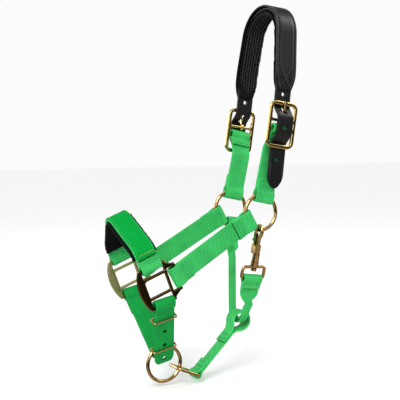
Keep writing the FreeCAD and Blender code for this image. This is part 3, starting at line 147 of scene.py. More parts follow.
TIP_HOLE = 17.0
HOLE_RADIUS = 2.5
HOLE_SIDES = 28
PUNCH_LONG = 12.0
TIP_LONG = 17.0
TIP_STITCH_END = 30.0
TIP_PLAIN = 6.0
LEATHER_SEAM = 2.6
NOSE_FLAP = 4.0
NOSE_LEAD = 3.0
NOSE_CURVE = 20.0
NOSE_LEAN = 46.0
NOSE_TOP = 12.0
OVERLAY_START = 13.0
OVERLAY_WIDTH = 24.0
OVERLAY_THICK = 1.4
OVERLAY_SWELL = 0.35
OVERLAY_SEAM = 1.7
NOSE_PAD_WIDTH = 34.0
NOSE_PAD = 5.0
CHIN_FREE_END = 77.0
CHIN_FAR_FLAP = 16.0
CHIN_NEAR_LEG = 74.0
CHIN_HOLES = (7.0, 27.5, 48.0)
CHIN_TIP_LONG = 9.0
CHIN_SMOOTH = 100.0
CHIN_PUNCH_OUT = 4.6
JAW_LOOP = 11.0
JAW_LOOP_PART = 14.0
JAW_LENGTH = 85.2
JAW_FLAP = 14.0
THROAT_NEAR_FLAP = 4.0
THROAT_FAR_FLAP = 12.0
THROAT_BEND = 16.0
THROAT_NEAR_WIDE = 9.0
FOLDED_WIDTH = 13.0
FOLDED_THICK = 4.6
FOLD_HALF = 1.9
FOLD_LONG = 26.0
FOLD_SHUT = 0.96
FOLD_SHRINK = 0.3
GATHER_LONG = 34.0
GATHERED = 0.46
SNAP_BAR_OUT = 2.0
SNAP_BAR_BACK = -0.46
SNAP_BAR_UP = 2.7
RIB_PITCH = 2.3
RIB_DEPTH = 0.5
FACE_FROM = 0.8
ARC_STEP = 0.22
SLOW_DRIFT = 17.0
FAST_DRIFT = 7.3
STITCH_SIDES = 6
STITCH_GAP = 0.14
TACK_WIDTH = 20.0
JAW_TACK_WIDTH = 15.0
GOLD_TACK_WIDTH = 19.0
TACK_GAP = 1.3
PAD_VOXEL = 2.0
PAD_CAP = 1.1
PAD_HELD = 0.6
PAD_FRAMES = 20
FLOOR_SIZE = 12.0
FLOOR_DROP = 4.0
KEY_POWER = 2.3
KEY_SOFTNESS = 30.0
CAMERA_AZIMUTH = 59.0
CAMERA_ELEVATION = 5.0
CAMERA_DISTANCE = 1.1
CAMERA_LENS = 80.2
AIM_RIGHT = -55.6
AIM_UP = 12.3


# ---------------------------------------------------------------- walking a centre line

def line(length):
    return ("line", length)


def arc(radius, turn):
    return ("arc", radius, turn)


def mirrored(steps):
    return [step if step[0] == "line" else ("arc", step[1], -step[2]) for step in steps]


def moved_inward(steps, inset):
    """The parallel walk lying `inset` to the left."""
    result = []
    for step in steps:
        if step[0] == "arc":
            hand = 1 if step[2] > 0 else -1
            step = ("arc", step[1] - hand * inset, step[2])
        result.append(step)
    return result


def parting(radius, curve):
    """Angle in radians through which a ply bends to open an eye of this radius."""
    spread = radius - PLY / 2
    return math.acos(1 - spread / 2 / curve)


def eye(turn, dip, radius, curve=BEND):
    """Plies part, pass round a wire or another strap and close again."""
    bend = math.degrees(parting(radius, curve))
    straight = [line(dip)] if dip > 0 else []
    first = [arc(curve, -turn * bend), arc(curve, turn * bend)]
    last = [arc(curve, turn * bend), arc(curve, -turn * bend)]
    return first + straight + [arc(radius, turn * 180)] + straight + last


def eye_reach(dip, radius, curve=BEND):
    """From where the plies part to the wire's centre."""
    return 2 * curve * math.sin(parting(radius, curve)) + dip / 2


def eye_length(dip, radius):
    """Length of webbing in an eye, along its centre line."""
    return 4 * BEND * parting(radius, BEND) + 2 * max(dip, 0.0) + math.pi * radius


def walk(steps, gap):
    """Points about `gap` apart along a walk that starts at the origin, heading up."""
    x = z = 0.0
    angle = math.pi / 2
    points = [(x, z)]
    for step in steps:
        if step[0] == "line":
            count = max(1, round(step[1] / gap))
            for index in range(1, count + 1):
                reach = step[1] * index / count
                points.append((x + reach * math.cos(angle), z + reach * math.sin(angle)))
        else:
            radius, turn = step[1], math.radians(step[2])
            hand = 1 if turn > 0 else -1
            cx = x - hand * radius * math.sin(angle)
            cz = z + hand * radius * math.cos(angle)
            begin = math.atan2(z - cz, x - cx)
            count = max(3, round(radius * abs(turn) / gap), round(abs(turn) / ARC_STEP))
            for index in range(1, count + 1):
                around = begin + turn * index / count
                points.append((cx + radius * math.cos(around), cz + radius * math.sin(around)))
            angle += turn
        x, z = points[-1]
    return points


class Path:
    """A strap's centre line in space, with its width and thickness directions."""

    def __init__(self, points, across):
        self.points = points
        self.across = across
        self.length = [0.0]
        for first, second in zip(points, points[1:]):
            self.length.append(self.length[-1] + (second - first).length)
        self.normal = []
        last = len(points) - 1
        for index in range(last + 1):
            tangent = points[min(index + 1, last)] - points[max(index - 1, 0)]
            normal = across.cross(tangent)
            normal.normalize()
            self.normal.append(normal)

    def at(self, reach):
        """Point and outward normal at a distance along the strap, in millimetres."""
        reach = min(max(reach * MM, 0.0), self.length[-1])
        index = 0
        while index < len(self.length) - 2 and self.length[index + 1] < reach:
            index += 1
        span = self.length[index + 1] - self.length[index]
        share = (reach - self.length[index]) / span if span else 0.0
        point = self.points[index].lerp(self.points[index + 1], share)
        normal = self.normal[index].lerp(self.normal[index + 1], share).normalized()
        return point, normal

    @property
    def total(self):
        return self.length[-1] / MM


def across_from(axis, run):
    """The part of an axis that stands square to a strap's run."""
    return (axis - run * axis.dot(run)).normalized()


def laid_out(node, steps, sideways, run, width, thick, gap=0.6):
    """A walk turned into space and moved so that it fills its CAD node's box."""
    across = run.cross(sideways)
    flat = [sideways * (x * MM) + run * (z * MM) for x, z in walk(steps, gap)]
    path = Path(flat, across)
    corners = []
    for point, normal in zip(path.points, path.normal):
        for hand in (-1, 1):
            for face in (-1, 1):
                corners.append(point + across * (hand * width / 2 * MM)
                               + normal * (face * thick / 2 * MM))
    low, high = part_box(node)
    middle = Vector([(min(c[axis] for c in corners) + max(c[axis] for c in corners)) / 2
                     for axis in range(3)])
    shift = (low + high) / 2 - middle
    return Path([point + shift for point in path.points], across)


def tilted(angle):
    """Upright leaned back, towards +Y, by an angle in degrees."""
    return Vector((0, math.sin(math.radians(angle)), math.cos(math.radians(angle))))


def leaning(up, lean):
    """Run and outward directions of a leg that leans sideways from `up`, in radians."""
    return (X_AXIS * math.sin(lean) + up * math.cos(lean),
            X_AXIS * math.cos(lean) - up * math.sin(lean))


def middle_of(node):
    low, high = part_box(node)
    return (low + high) / 2


# ---------------------------------------------------------------- meshes

def new_object(name, data):
    made = bpy.data.objects.new(name, data)
    bpy.context.scene.collection.objects.link(made)
    return made


def new_mesh(name, data):
    """Turn a bmesh into a mesh."""
    mesh = bpy.data.meshes.new(name)
    data.to_mesh(mesh)
    data.free()
    return mesh


def finish_mesh(name, data, node, material):
    """Turn a bmesh into a piece that rides on its CAD node's body."""
    bmesh.ops.recalc_face_normals(data, faces=data.faces)
    if data.calc_volume(signed=True) < 0:
        bmesh.ops.reverse_faces(data, faces=data.faces)
    mesh = new_mesh(name, data)
    piece = new_object(name, mesh)
    mesh.materials.append(material)
    for polygon in mesh.polygons:
        polygon.use_smooth = True
    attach(piece, BODY_OF_NODE[node])
    return piece


def strap_section(width, thick, edge, columns):
    """Closed outline of (across, up) pairs: a flat strap with rounded edges. The first
    point is the + end of the upper face."""
    inner = width / 2 - edge

    def face(hand):
        places = [inner - 2 * inner * index / columns for index in range(columns + 1)]
        return [(hand * across, hand * thick / 2) for across in places]

    def rounded(hand):
        turns = [math.radians(90 + 45 * index) for index in (1, 2, 3)]
        return [(hand * (edge * math.cos(turn) - inner), hand * thick / 2 * math.sin(turn))
                for turn in turns]

    return face(1) + rounded(1) + face(-1) + rounded(-1)


def narrowed(section, wide, thick=1.0):
    return [(across * wide, up * thick) for across, up in section]


def ribbed(pitch, depth):
    """A change of section that cuts cross ribs into a webbing's two faces."""
    def shape(reach, section):
        rib = depth * (abs(math.sin(math.pi * reach / pitch)) - 1)
        return [(across, up + math.copysign(rib, up) if abs(up) > FACE_FROM else up)
                for across, up in section]
    return shape


def plain(reach, section):
    return section


def swept(path, section, shape=plain, wander=0.0):
    """Sweep a section along a path into a bmesh; UVs hold metres across and along."""
    data = bmesh.new()
    uv_layer = data.loops.layers.uv.new("UVMap")
    phase = random.uniform(0, 6)
    rings = []
    for index, point in enumerate(path.points):
        reach = path.length[index] / MM
        drift = wander * (math.sin(reach / SLOW_DRIFT + phase) + 0.5 * math.sin(reach / FAST_DRIFT))
        ring = []
        for across, up in shape(reach, section):
            place = (point + path.across * ((across + drift) * MM)
                     + path.normal[index] * (up * MM))
            ring.append(data.verts.new(place))
        rings.append(ring)
    count = len(section)
    for index in range(len(rings) - 1):
        low, high = rings[index], rings[index + 1]
        along = [path.length[index]] * 2 + [path.length[index + 1]] * 2
        for step in range(count):
            following = (step + 1) % count
            face = data.faces.new((low[step], low[following], high[following], high[step]))
            sides = (section[step][0], section[following][0], section[following][0],
                     section[step][0])
            for loop, side, reach in zip(face.loops, sides, along):
                loop[uv_layer].uv = (side * MM, reach)
    data.faces.new(list(reversed(rings[0])))
    data.faces.new(rings[-1])
    return data


def ribbon(name, node, path, section, material, shape=plain, wander=0.0):
    """A strap that stands for its CAD node."""
    data = swept(path, section, shape, wander)
    piece = finish_mesh(name, data, node, material)
    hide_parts(node)
    return piece


# share of the stitch's length, height and thickness, both in thread thicknesses
STITCH_BOW = ((0.0, -0.6, 0.5), (0.12, 0.2, 0.85), (0.5, 0.5, 1.0), (0.88, 0.2, 0.85),
              (1.0, -0.6, 0.5))


def add_stitch(data, start, end, normal, thick):
    """One stitch: a short bowed thread that dives into the strap at both ends."""
    forward = end - start
    sideways = forward.cross(normal).normalized()
    rings = []
    for share, height, size in STITCH_BOW:
        middle = start + forward * share + normal * (thick * height)
        ring = []
        for index in range(STITCH_SIDES):
            turn = math.tau * index / STITCH_SIDES
            around = sideways * math.cos(turn) + normal * math.sin(turn)
            ring.append(data.verts.new(middle + around * (thick / 2 * size)))
        rings.append(ring)
    for low, high in zip(rings, rings[1:]):
        for index in range(STITCH_SIDES):
            following = (index + 1) % STITCH_SIDES
            data.faces.new((low[index], low[following], high[following], high[index]))
    data.faces.new(list(reversed(rings[0])))
    data.faces.new(rings[-1])


def stitches(name, node, path, rows, face, height, material, pitch=3.4, thick=0.75):
    """Rows of stitches; a row runs between two (reach, across) places on one face."""
    data = bmesh.new()
    for (reach_a, across_a), (reach_b, across_b) in rows:
        span = math.hypot(reach_b - reach_a, across_b - across_a)
        count = max(1, round(span / pitch))
        for index in range(count):
            ends = []
            for share in ((index + STITCH_GAP) / count, (index + 1 - STITCH_GAP) / count):
                reach = reach_a + (reach_b - reach_a) * share
                across = across_a + (across_b - across_a) * share
                point, normal = path.at(reach)
                ends.append(point + path.across * (across * MM) + normal * (face * height * MM))
            add_stitch(data, ends[0], ends[1], normal * face, thick * MM)
    return finish_mesh(name, data, node, material)


def bar_tacks(reaches, width, rows=2):
    """Close rows straight across the strap, at each reach."""
    places = [reach + TACK_GAP * row for reach in reaches for row in range(rows)]
    return [((place, -width / 2), (place, width / 2)) for place in places]


def green_tacks(name, node, path, reaches, face, width=TACK_WIDTH):
    rows = bar_tacks(reaches, width)
    stitches(name, node, path, rows, face, WEBBING_THICK / 2, GREEN_THREAD)


def drilled(piece, holes):
    """Punch holes; each is (point, direction, long_way, stretch along long_way)."""
    data = bmesh.new()
    for point, direction, long_way, stretch in holes:
        sideways = long_way.cross(direction).normalized()
        turned = Matrix((sideways, long_way, direction)).transposed().to_4x4()
        turned.translation = point
        made = bmesh.ops.create_cone(data, cap_ends=True, segments=HOLE_SIDES,
                                     depth=PUNCH_LONG * MM, radius1=HOLE_RADIUS * MM,
                                     radius2=HOLE_RADIUS * MM)
        for vertex in made["verts"]:
            vertex.co.y += math.copysign(stretch / 2 * MM, vertex.co.y)
            vertex.co = turned @ vertex.co
    punch = new_object("punch", new_mesh("punch", data))
    modifier = piece.modifiers.new("holes", "BOOLEAN")
    modifier.operation = "DIFFERENCE"
    modifier.solver = "EXACT"
    modifier.use_self = True
    modifier.object = punch
    applied(piece)
    bpy.data.objects.remove(punch)


def applied(piece):
    """Make a piece's modifiers part of its mesh."""
    bpy.context.view_layer.update()
    graph = bpy.context.evaluated_depsgraph_get()
    result = bpy.data.meshes.new_from_object(piece.evaluated_get(graph))
    piece.modifiers.clear()
    piece.data = result


# ---------------------------------------------------------------- simulated padding

def place_on(path, tree, point):
    """(reach, across, up) of a point near a path, in millimetres."""
    index = tree.find(point)[1]
    offset = point - path.points[index]
    tangent = path.normal[index].cross(path.across)
    return (path.length[index] / MM + offset.dot(tangent) / MM, offset.dot(path.across) / MM,
            offset.dot(path.normal[index]) / MM)


def padding(name, node, path, section, material, inside, quilt, shape=plain):
    """A pad blown up by cloth simulation, then sewn down in channels.
    inside is the face (+1 or -1) that is free to swell; quilt is (row, step, depth)."""
    data = swept(path, section, shape)
    piece = finish_mesh(name, data, node, material)
    tree = KDTree(len(path.points))
    for index, point in enumerate(path.points):
        tree.insert(point, index)
    tree.balance()
    remesh = piece.modifiers.new("remesh", "REMESH")
    remesh.mode = "VOXEL"
    remesh.voxel_size = PAD_VOXEL * MM
    applied(piece)
    blow_up(piece, path, tree, inside)
    smooth = piece.modifiers.new("smooth", "SUBSURF")
    smooth.levels = 1
    applied(piece)
    sew_channels(piece, path, tree, inside, quilt)
    piece.data.materials.clear()
    piece.data.materials.append(material)
    for polygon in piece.data.polygons:
        polygon.use_smooth = True
    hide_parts(node)
    return piece


def blow_up(piece, path, tree, inside):
    """Cloth pressure swells the free face and edges, by PAD_CAP at most."""
    held = piece.vertex_groups.new(name="held")
    for vertex in piece.data.vertices:
        up = place_on(path, tree, vertex.co)[2]
        if up * inside < -PAD_HELD:
            held.add([vertex.index], 1.0, "REPLACE")
    cloth = piece.modifiers.new("cloth", "CLOTH")
    cloth.settings.vertex_group_mass = "held"
    cloth.settings.use_pressure = True
    cloth.settings.uniform_pressure_force = 4.0
    cloth.settings.effector_weights.gravity = 0.0
    cloth.settings.tension_stiffness = 12.0
    cloth.settings.compression_stiffness = 12.0
    cloth.point_cache.frame_start = 1
    cloth.point_cache.frame_end = PAD_FRAMES
    scene = bpy.context.scene
    for frame_number in range(1, PAD_FRAMES + 1):
        scene.frame_set(frame_number)
    graph = bpy.context.evaluated_depsgraph_get()
    swollen = piece.evaluated_get(graph).data
    moved = [vertex.co.copy() for vertex in swollen.vertices]
    piece.modifiers.clear()
    for vertex, target in zip(piece.data.vertices, moved):
        step = target - vertex.co
        if step.length > PAD_CAP * MM:
            step = step.normalized() * (PAD_CAP * MM)
        vertex.co += step
    scene.frame_set(1)


def sew_channels(piece, path, tree, inside, quilt):
    """Press rows of stitch holes into the free face and give the pad its UVs."""
    row, step, depth = quilt
    mesh = piece.data
    places = []
    for vertex in mesh.vertices:
        reach, across, up = place_on(path, tree, vertex.co)
        places.append((across, reach))
        if up * inside < 0.2:
            continue
        line_up = abs(math.sin(math.pi * across / row))
        beat = 0.5 + 0.5 * math.cos(math.tau * reach / step)
        press = depth * (1 - line_up) * (0.45 + 0.55 * beat)
        index = tree.find(vertex.co)[1]
        vertex.co -= path.normal[index] * (inside * press * MM)
    layer = mesh.uv_layers.new(name="UVMap") if not mesh.uv_layers else mesh.uv_layers[0]
    for loop in mesh.loops:
        across, reach = places[loop.vertex_index]
        layer.data[loop.index].uv = (across * MM, reach * MM)


# ---------------------------------------------------------------- materials

class Shading:
    """A node tree, with a short call for each kind of node used here."""

    def __init__(self, tree):
        self.nodes = tree.nodes
        self.links = tree.links

    def feed(self, value, socket):
        """Link an output to a socket, or set the socket to a plain value."""
        if isinstance(value, bpy.types.NodeSocket):
            self.links.new(value, socket)
        else:
            socket.default_value = value

    def calculate(self, operation, *values):
        node = self.nodes.new("ShaderNodeMath")
        node.operation = operation
        for value, socket in zip(values, node.inputs):
            self.feed(value, socket)
        return node.outputs[0]

    def times(self, first, second):
        return self.calculate("MULTIPLY", first, second)

    def plus(self, first, second):
        return self.calculate("ADD", first, second)

    def sine(self, value):
        return self.calculate("SINE", value)

    def absolute(self, value):
        return self.calculate("ABSOLUTE", value)

    def coordinates(self, kind):
        return self.nodes.new("ShaderNodeTexCoord").outputs[kind]

    def split(self, vector):
        node = self.nodes.new("ShaderNodeSeparateXYZ")
        self.links.new(vector, node.inputs[0])
        return node.outputs

    def strap_place(self):
        """Millimetres across and along the strap, from its UVs."""
        metres = self.split(self.coordinates("UV"))
        return self.times(metres[0], 1 / MM), self.times(metres[1], 1 / MM)

    def noise(self, scale, detail):
        texture = self.nodes.new("ShaderNodeTexNoise")
        texture.inputs["Scale"].default_value = scale
        texture.inputs["Detail"].default_value = detail
        self.links.new(self.coordinates("Object"), texture.inputs["Vector"])
        return texture.outputs["Fac"]

    def ramp(self, factor, stops):
        node = self.nodes.new("ShaderNodeValToRGB")
        elements = node.color_ramp.elements
        while len(elements) < len(stops):
            elements.new(0.5)
        for element, (place, color) in zip(elements, stops):
            element.position = place
            element.color = (*color, 1)
        self.links.new(factor, node.inputs[0])
        return node.outputs[0]

    def chosen(self, factor, off, on):
        """A colour that is off where the factor is 0 and on where it is 1."""
        mix = self.nodes.new("ShaderNodeMix")
        mix.data_type = "RGBA"
        self.links.new(factor, mix.inputs["Factor"])
        self.feed(off, mix.inputs["A"])
        self.feed(on, mix.inputs["B"])
        return mix.outputs["Result"]


class Surface(Shading):
    """A material in the making: its node tree and its surface shader's inputs."""

    def __init__(self, name, color, roughness, metallic=0.0):
        self.material = bpy.data.materials.new(name)
        self.material.use_nodes = True
        super().__init__(self.material.node_tree)
        self.inputs = self.nodes["Principled BSDF"].inputs
        self.inputs["Base Color"].default_value = (*color, 1)
        self.inputs["Roughness"].default_value = roughness
        self.inputs["Metallic"].default_value = metallic

    def tint(self, factor, *stops):
        """Base colour, by a factor's place among (place, colour) stops."""
        self.links.new(self.ramp(factor, stops), self.inputs["Base Color"])

    def gloss(self, level):
        self.inputs["Specular IOR Level"].default_value = level

    def roughen(self, factor, low, high):
        spread = self.nodes.new("ShaderNodeMapRange")
        spread.inputs["To Min"].default_value = low
        spread.inputs["To Max"].default_value = high
        self.links.new(factor, spread.inputs["Value"])
        self.links.new(spread.outputs[0], self.inputs["Roughness"])

    def bump(self, height, depth):
        """Raise the surface by up to `depth` millimetres."""
        node = self.nodes.new("ShaderNodeBump")
        node.inputs["Distance"].default_value = depth * MM
        self.links.new(height, node.inputs["Height"])
        self.links.new(node.outputs[0], self.inputs["Normal"])


def brighter(color, factor, lift):
    return tuple(min(1.0, c * factor + lift) for c in color)


def webbing_material(name, dark, light, rib_pitch, yarn_pitch, depth, gloss=0.2):
    """Flat nylon webbing: cross ribs broken into yarns, every other one half a rib on."""
    made = Surface(name, light, 0.5)
    across, along = made.strap_place()
    wave = made.sine(made.times(across, math.pi / yarn_pitch))
    stagger = made.times(made.calculate("SIGN", wave), math.pi / 4)
    row = made.plus(made.times(along, math.pi / rib_pitch), stagger)
    yarn = made.plus(made.times(made.absolute(wave), 0.45), 0.55)
    weave = made.times(made.absolute(made.sine(row)), yarn)
    blotch = made.noise(60.0, 4.0)
    groove_shade_and_blotch = made.plus(made.times(weave, 0.72), made.times(blotch, 0.4))
    # Painted shade in the grooves between ribs and painted light on their crests, following the
    # bump; the blotch noise adds random tone.
    middle = tuple((d + l) / 2 for d, l in zip(dark, light))
    made.tint(groove_shade_and_blotch, (0.22, dark), (0.5, middle), (0.8, light))
    made.gloss(gloss)
    made.bump(weave, depth)
    return made.material


def leather_material(name, color, grain_scale, roughness, depth):
    """Dyed leather: fine grain, pores and rubbed patches."""
    made = Surface(name, color, roughness)
    cells = made.nodes.new("ShaderNodeTexVoronoi")
    cells.inputs["Scale"].default_value = grain_scale
    made.links.new(made.coordinates("Object"), cells.inputs["Vector"])
    pores = made.times(made.noise(90.0, 5.0), 0.6)
    made.bump(made.plus(cells.outputs["Distance"], pores), depth)
    rubbed = made.noise(28.0, 3.0)
    made.roughen(rubbed, roughness - 0.12, roughness + 0.2)
    made.gloss(0.35)
    made.tint(rubbed, (0.35, color), (0.8, brighter(color, 2.0, 0.002)))
    return made.material


def quilted_material(name, color, pitch, roughness):
    """Soft lining pricked in rows, as closely quilted padding is."""
    made = Surface(name, color, roughness)
    across, along = made.strap_place()
    row = made.sine(made.times(across, math.tau / pitch))
    step = made.sine(made.times(along, math.tau / (pitch * 0.8)))
    dimple = made.times(row, step)
    made.bump(dimple, 0.5)
    # Painted light and shade: the colour is lighter on the quilting's raised cells and darker in its
    # dimples, following the bump.
    made.tint(dimple, (0.2, color), (0.9, brighter(color, 2.0, 0.004)))
    made.gloss(0.1)
    return made.material


def brass_material(name, bright, dark, roughness, tarnish):
    """Polished brass, lightly scratched, with painted shade: ambient occlusion darkens the colour in
    corners, recesses and between parts, and a cloud of tarnish mottles it.
    """
    made = Surface(name, bright, roughness, 1.0)
    occlusion = made.nodes.new("ShaderNodeAmbientOcclusion")
    occlusion.inputs["Distance"].default_value = 5 * MM
    occlusion.samples = 6
    cloud = made.noise(130.0, 4.0)
    stain = made.plus(made.times(cloud, tarnish), 1.0 - tarnish / 2)
    # Painted shade: the colour runs from bright to dark where occlusion finds corners and recesses;
    # the cloud adds tarnish.
    made.tint(made.times(occlusion.outputs["AO"], stain), (0.25, dark), (0.85, bright))
    made.roughen(made.noise(900.0, 2.0), roughness - 0.04, roughness + 0.08)
    made.bump(cloud, 0.12)
    return made.material


def thread_material(name, color):
    """Twisted sewing thread."""
    made = Surface(name, color, 0.55)
    twist = made.noise(2500.0, 1.0)
    made.tint(twist, (0.3, brighter(color, 0.55, 0.0)), (0.7, color))
    made.bump(twist, 0.1)
    return made.material


WEBBING = webbing_material("webbing", (0.0, 0.15, 0.02), (0.06, 0.68, 0.165), RIB_PITCH, 1.6, 0.5)
CHIN_WEBBING = webbing_material("chin_webbing", (0.0, 0.12, 0.015), (0.006, 0.40, 0.07),
                                1.3, 0.9, 0.14, 0.12)
SATIN = webbing_material("satin", (0.0, 0.22, 0.025), (0.0, 0.36, 0.05), 0.9, 0.7, 0.05, 0.06)
BLACK = (0.003, 0.003, 0.0035)
LEATHER = leather_material("leather", BLACK, 1500.0, 0.3, 0.10)
LINING = quilted_material("lining", BLACK, LINING_ROW, 0.6)
NOSE_LINING = quilted_material("nose_lining", BLACK, 4.2, 0.75)
BRASS = brass_material("cast_brass", (0.86, 0.64, 0.24), (0.05, 0.028, 0.01), 0.1, 0.3)
# The two halter squares are one brass. This darker copy, for the near square, is painted shade.
SHADED_SQUARE_BRASS = brass_material("square_brass_painted_shade", (0.26, 0.16, 0.06), (0.01, 0.006, 0.003), 0.14, 0.6)
WIRE = brass_material("brass_wire", (0.66, 0.42, 0.18), (0.05, 0.028, 0.01), 0.1, 0.3)
# Paler copy of the squares' brass, for the far square: painted light.
LIT_SQUARE_BRASS = brass_material("square_brass_painted_light", (0.90, 0.74, 0.40), (0.10, 0.06, 0.02), 0.34, 0.4)
STEEL = brass_material("steel", (0.5, 0.48, 0.45), (0.1, 0.1, 0.1), 0.24, 0.2)
GREEN_THREAD = thread_material("green_thread", (0.01, 0.34, 0.08))
EDGE_THREAD = thread_material("edge_thread", (0.03, 0.58, 0.16))
GOLD_THREAD = thread_material("gold_thread", (0.5, 0.5, 0.08))
# Black thread lifted to dark grey: painted sheen, standing in for the gloss that makes black
# stitches show on black leather.
BLACK_THREAD_PAINTED_SHEEN = thread_material("black_thread_sheen_painted", (0.075, 0.075, 0.08))

WEBBING_SECTION = strap_section(WEBBING_WIDTH, WEBBING_THICK, 1.0, 10)
CHEEK_SECTION = strap_section(WEBBING_WIDTH - 0.8, WEBBING_THICK - 0.1, 1.0, 10)
JAW_SECTION = strap_section(JAW_WIDTH - 0.4, WEBBING_THICK - 0.3, 1.0, 8)
RIBS = ribbed(RIB_PITCH, RIB_DEPTH)

# ---------------------------------------------------------------- metal kept from the CAD

METAL = {
    "near_cheek_ring": WIRE, "far_cheek_ring": WIRE, "chin_ring": WIRE,
    "upper_keeper": WIRE, "lower_keeper": WIRE, "jaw_link": WIRE,
    "near_buckle_tongue": BRASS, "far_buckle_tongue": BRASS,
    "near_buckle_frame": BRASS, "far_buckle_frame": BRASS,
    # near square in the darker copy (painted shade), far square in the paler copy (painted light)
    "near_halter_square": SHADED_SQUARE_BRASS, "far_halter_square": LIT_SQUARE_BRASS,
    "snap_body": WIRE, "snap_eye": WIRE, "snap_gate": WIRE,
    "snap_gate_pin": STEEL, "snap_spring": STEEL,
}
for metal_node, metal in METAL.items():
    slots = frame["nodes"][metal_node].data.materials
    for index in range(len(slots)):
        slots[index] = metal


# ---------------------------------------------------------------- cheek straps and billets

SIDE_NAME = {NEAR: "near", FAR: "far"}
SQUARE_UPWARD = tilted(-SQUARE_TILT)
SQUARE_BACKWARD = Vector((0, SQUARE_UPWARD.z, -SQUARE_UPWARD.y))


def square_point(side, backward, upward):
    """A point of a halter square, in millimetres; its box places it sideways."""
    low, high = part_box(SIDE_NAME[side] + "_halter_square")
    centre = Vector(((low.x + high.x) / 2 / MM, SQUARE_BACK, SQUARE_UP))
    return centre + SQUARE_BACKWARD * backward + SQUARE_UPWARD * upward


def cheek_strap(side):
    name = SIDE_NAME[side] + "_cheek_strap"
    bar = square_point(side, BACK_BAR, 0.0)
    ring = middle_of(SIDE_NAME[side] + "_cheek_ring") / MM
    towards = Vector((0, bar.y, bar.z)).normalized()
    between = ring + towards * RING_HOLD - bar
    run = between.normalized()
    main = between.length - eye_reach(RING_DIP, RING_EYE) - eye_reach(BAR_DIP, BAR_EYE)
    steps = [line(CHEEK_RING_FLAP)] + eye(1, RING_DIP, RING_EYE) + [line(main)]
    steps += eye(1, BAR_DIP, BAR_EYE) + [line(CHEEK_SQUARE_FLAP)]
    if side == FAR:
        steps = mirrored(steps)
    path = laid_out(name, steps, across_from(X_AXIS, run), run, WEBBING_WIDTH, WEBBING_THICK)
    ribbon(name + "_webbing", name, path, CHEEK_SECTION, WEBBING, RIBS, 0.05)
    reaches = (3.0, 8.0, path.total - 4.0, path.total - 8.5)
    green_tacks(name + "_stitching", name, path, reaches, side)


def crown_billet(side, run_length):
    name = SIDE_NAME[side] + "_crown_billet"
    steps = [line(BILLET_FLAP)] + eye(-1, RING_DIP, RING_EYE)
    steps += [line(run_length), arc(BILLET_BEND, -BILLET_SLOPE), line(BILLET_SLANT)]
    steps += eye(1, 0.0, CROSS_EYE) + [line(BILLET_TOP_FLAP)]
    if side == NEAR:
        steps = mirrored(steps)
    run = -tilted(BILLET_TILT)
    path = laid_out(name, steps, across_from(X_AXIS, run), run, WEBBING_WIDTH, WEBBING_THICK)
    ribbon(name + "_webbing", name, path, WEBBING_SECTION, WEBBING, RIBS, 0.12)
    green_tacks(name + "_stitching", name, path, (3.0, 8.5), side)
    green_tacks(name + "_end_stitching", name, path, (path.total - 4.0,), -side)


for each_side in (NEAR, FAR):
    cheek_strap(each_side)
crown_billet(NEAR, NEAR_BILLET_RUN)
crown_billet(FAR, FAR_BILLET_RUN)

# ---------------------------------------------------------------- crown

CROWN_UP = tilted(CROWN_TILT)
NEAR_BUCKLE = middle_of("near_buckle_frame") / MM
FAR_BUCKLE = middle_of("far_buckle_frame") / MM
CROWN_DROP = (NEAR_BUCKLE - FAR_BUCKLE).dot(CROWN_UP)
WEAVE_LEAN = math.radians(WEAVE_ANGLE)
WEAVE_SLANT = ((BEHIND_FRAME + BEFORE_BARS) / math.sin(WEAVE_LEAN)
               - 2 * WEAVE_RADIUS * math.tan(WEAVE_LEAN / 2))
WEAVE_RISE = (2 * WEAVE_RADIUS + WEAVE_SLANT) * math.sin(WEAVE_LEAN)


def weave():
    """Leather through a buckle, from behind the lower bar to behind the upper one."""
    outward = [arc(WEAVE_RADIUS, -WEAVE_ANGLE), line(WEAVE_SLANT), arc(WEAVE_RADIUS, WEAVE_ANGLE)]
    inward = [arc(WEAVE_RADIUS, WEAVE_ANGLE), line(WEAVE_SLANT), arc(WEAVE_RADIUS, -WEAVE_ANGLE)]
    return outward + [line(BARS_RUN)] + inward


def arch_steps(near_run, far_run):
    """From the near leg over the poll and down the far leg."""
    lean = math.radians(LEG_LEAN)
    inward = LEG_CURVE * (1 - math.cos(lean)) + LEG_SLANT * math.sin(lean)
    radius = (NEAR_BUCKLE.x - BEHIND_FRAME - inward) / math.cos(lean)
    near_leg = [line(near_run), arc(LEG_CURVE, LEG_LEAN), line(LEG_SLANT)]
    far_leg = [line(LEG_SLANT), arc(LEG_CURVE, LEG_LEAN), line(far_run)]
    return near_leg + [arc(radius, 180 - 2 * LEG_LEAN)] + far_leg


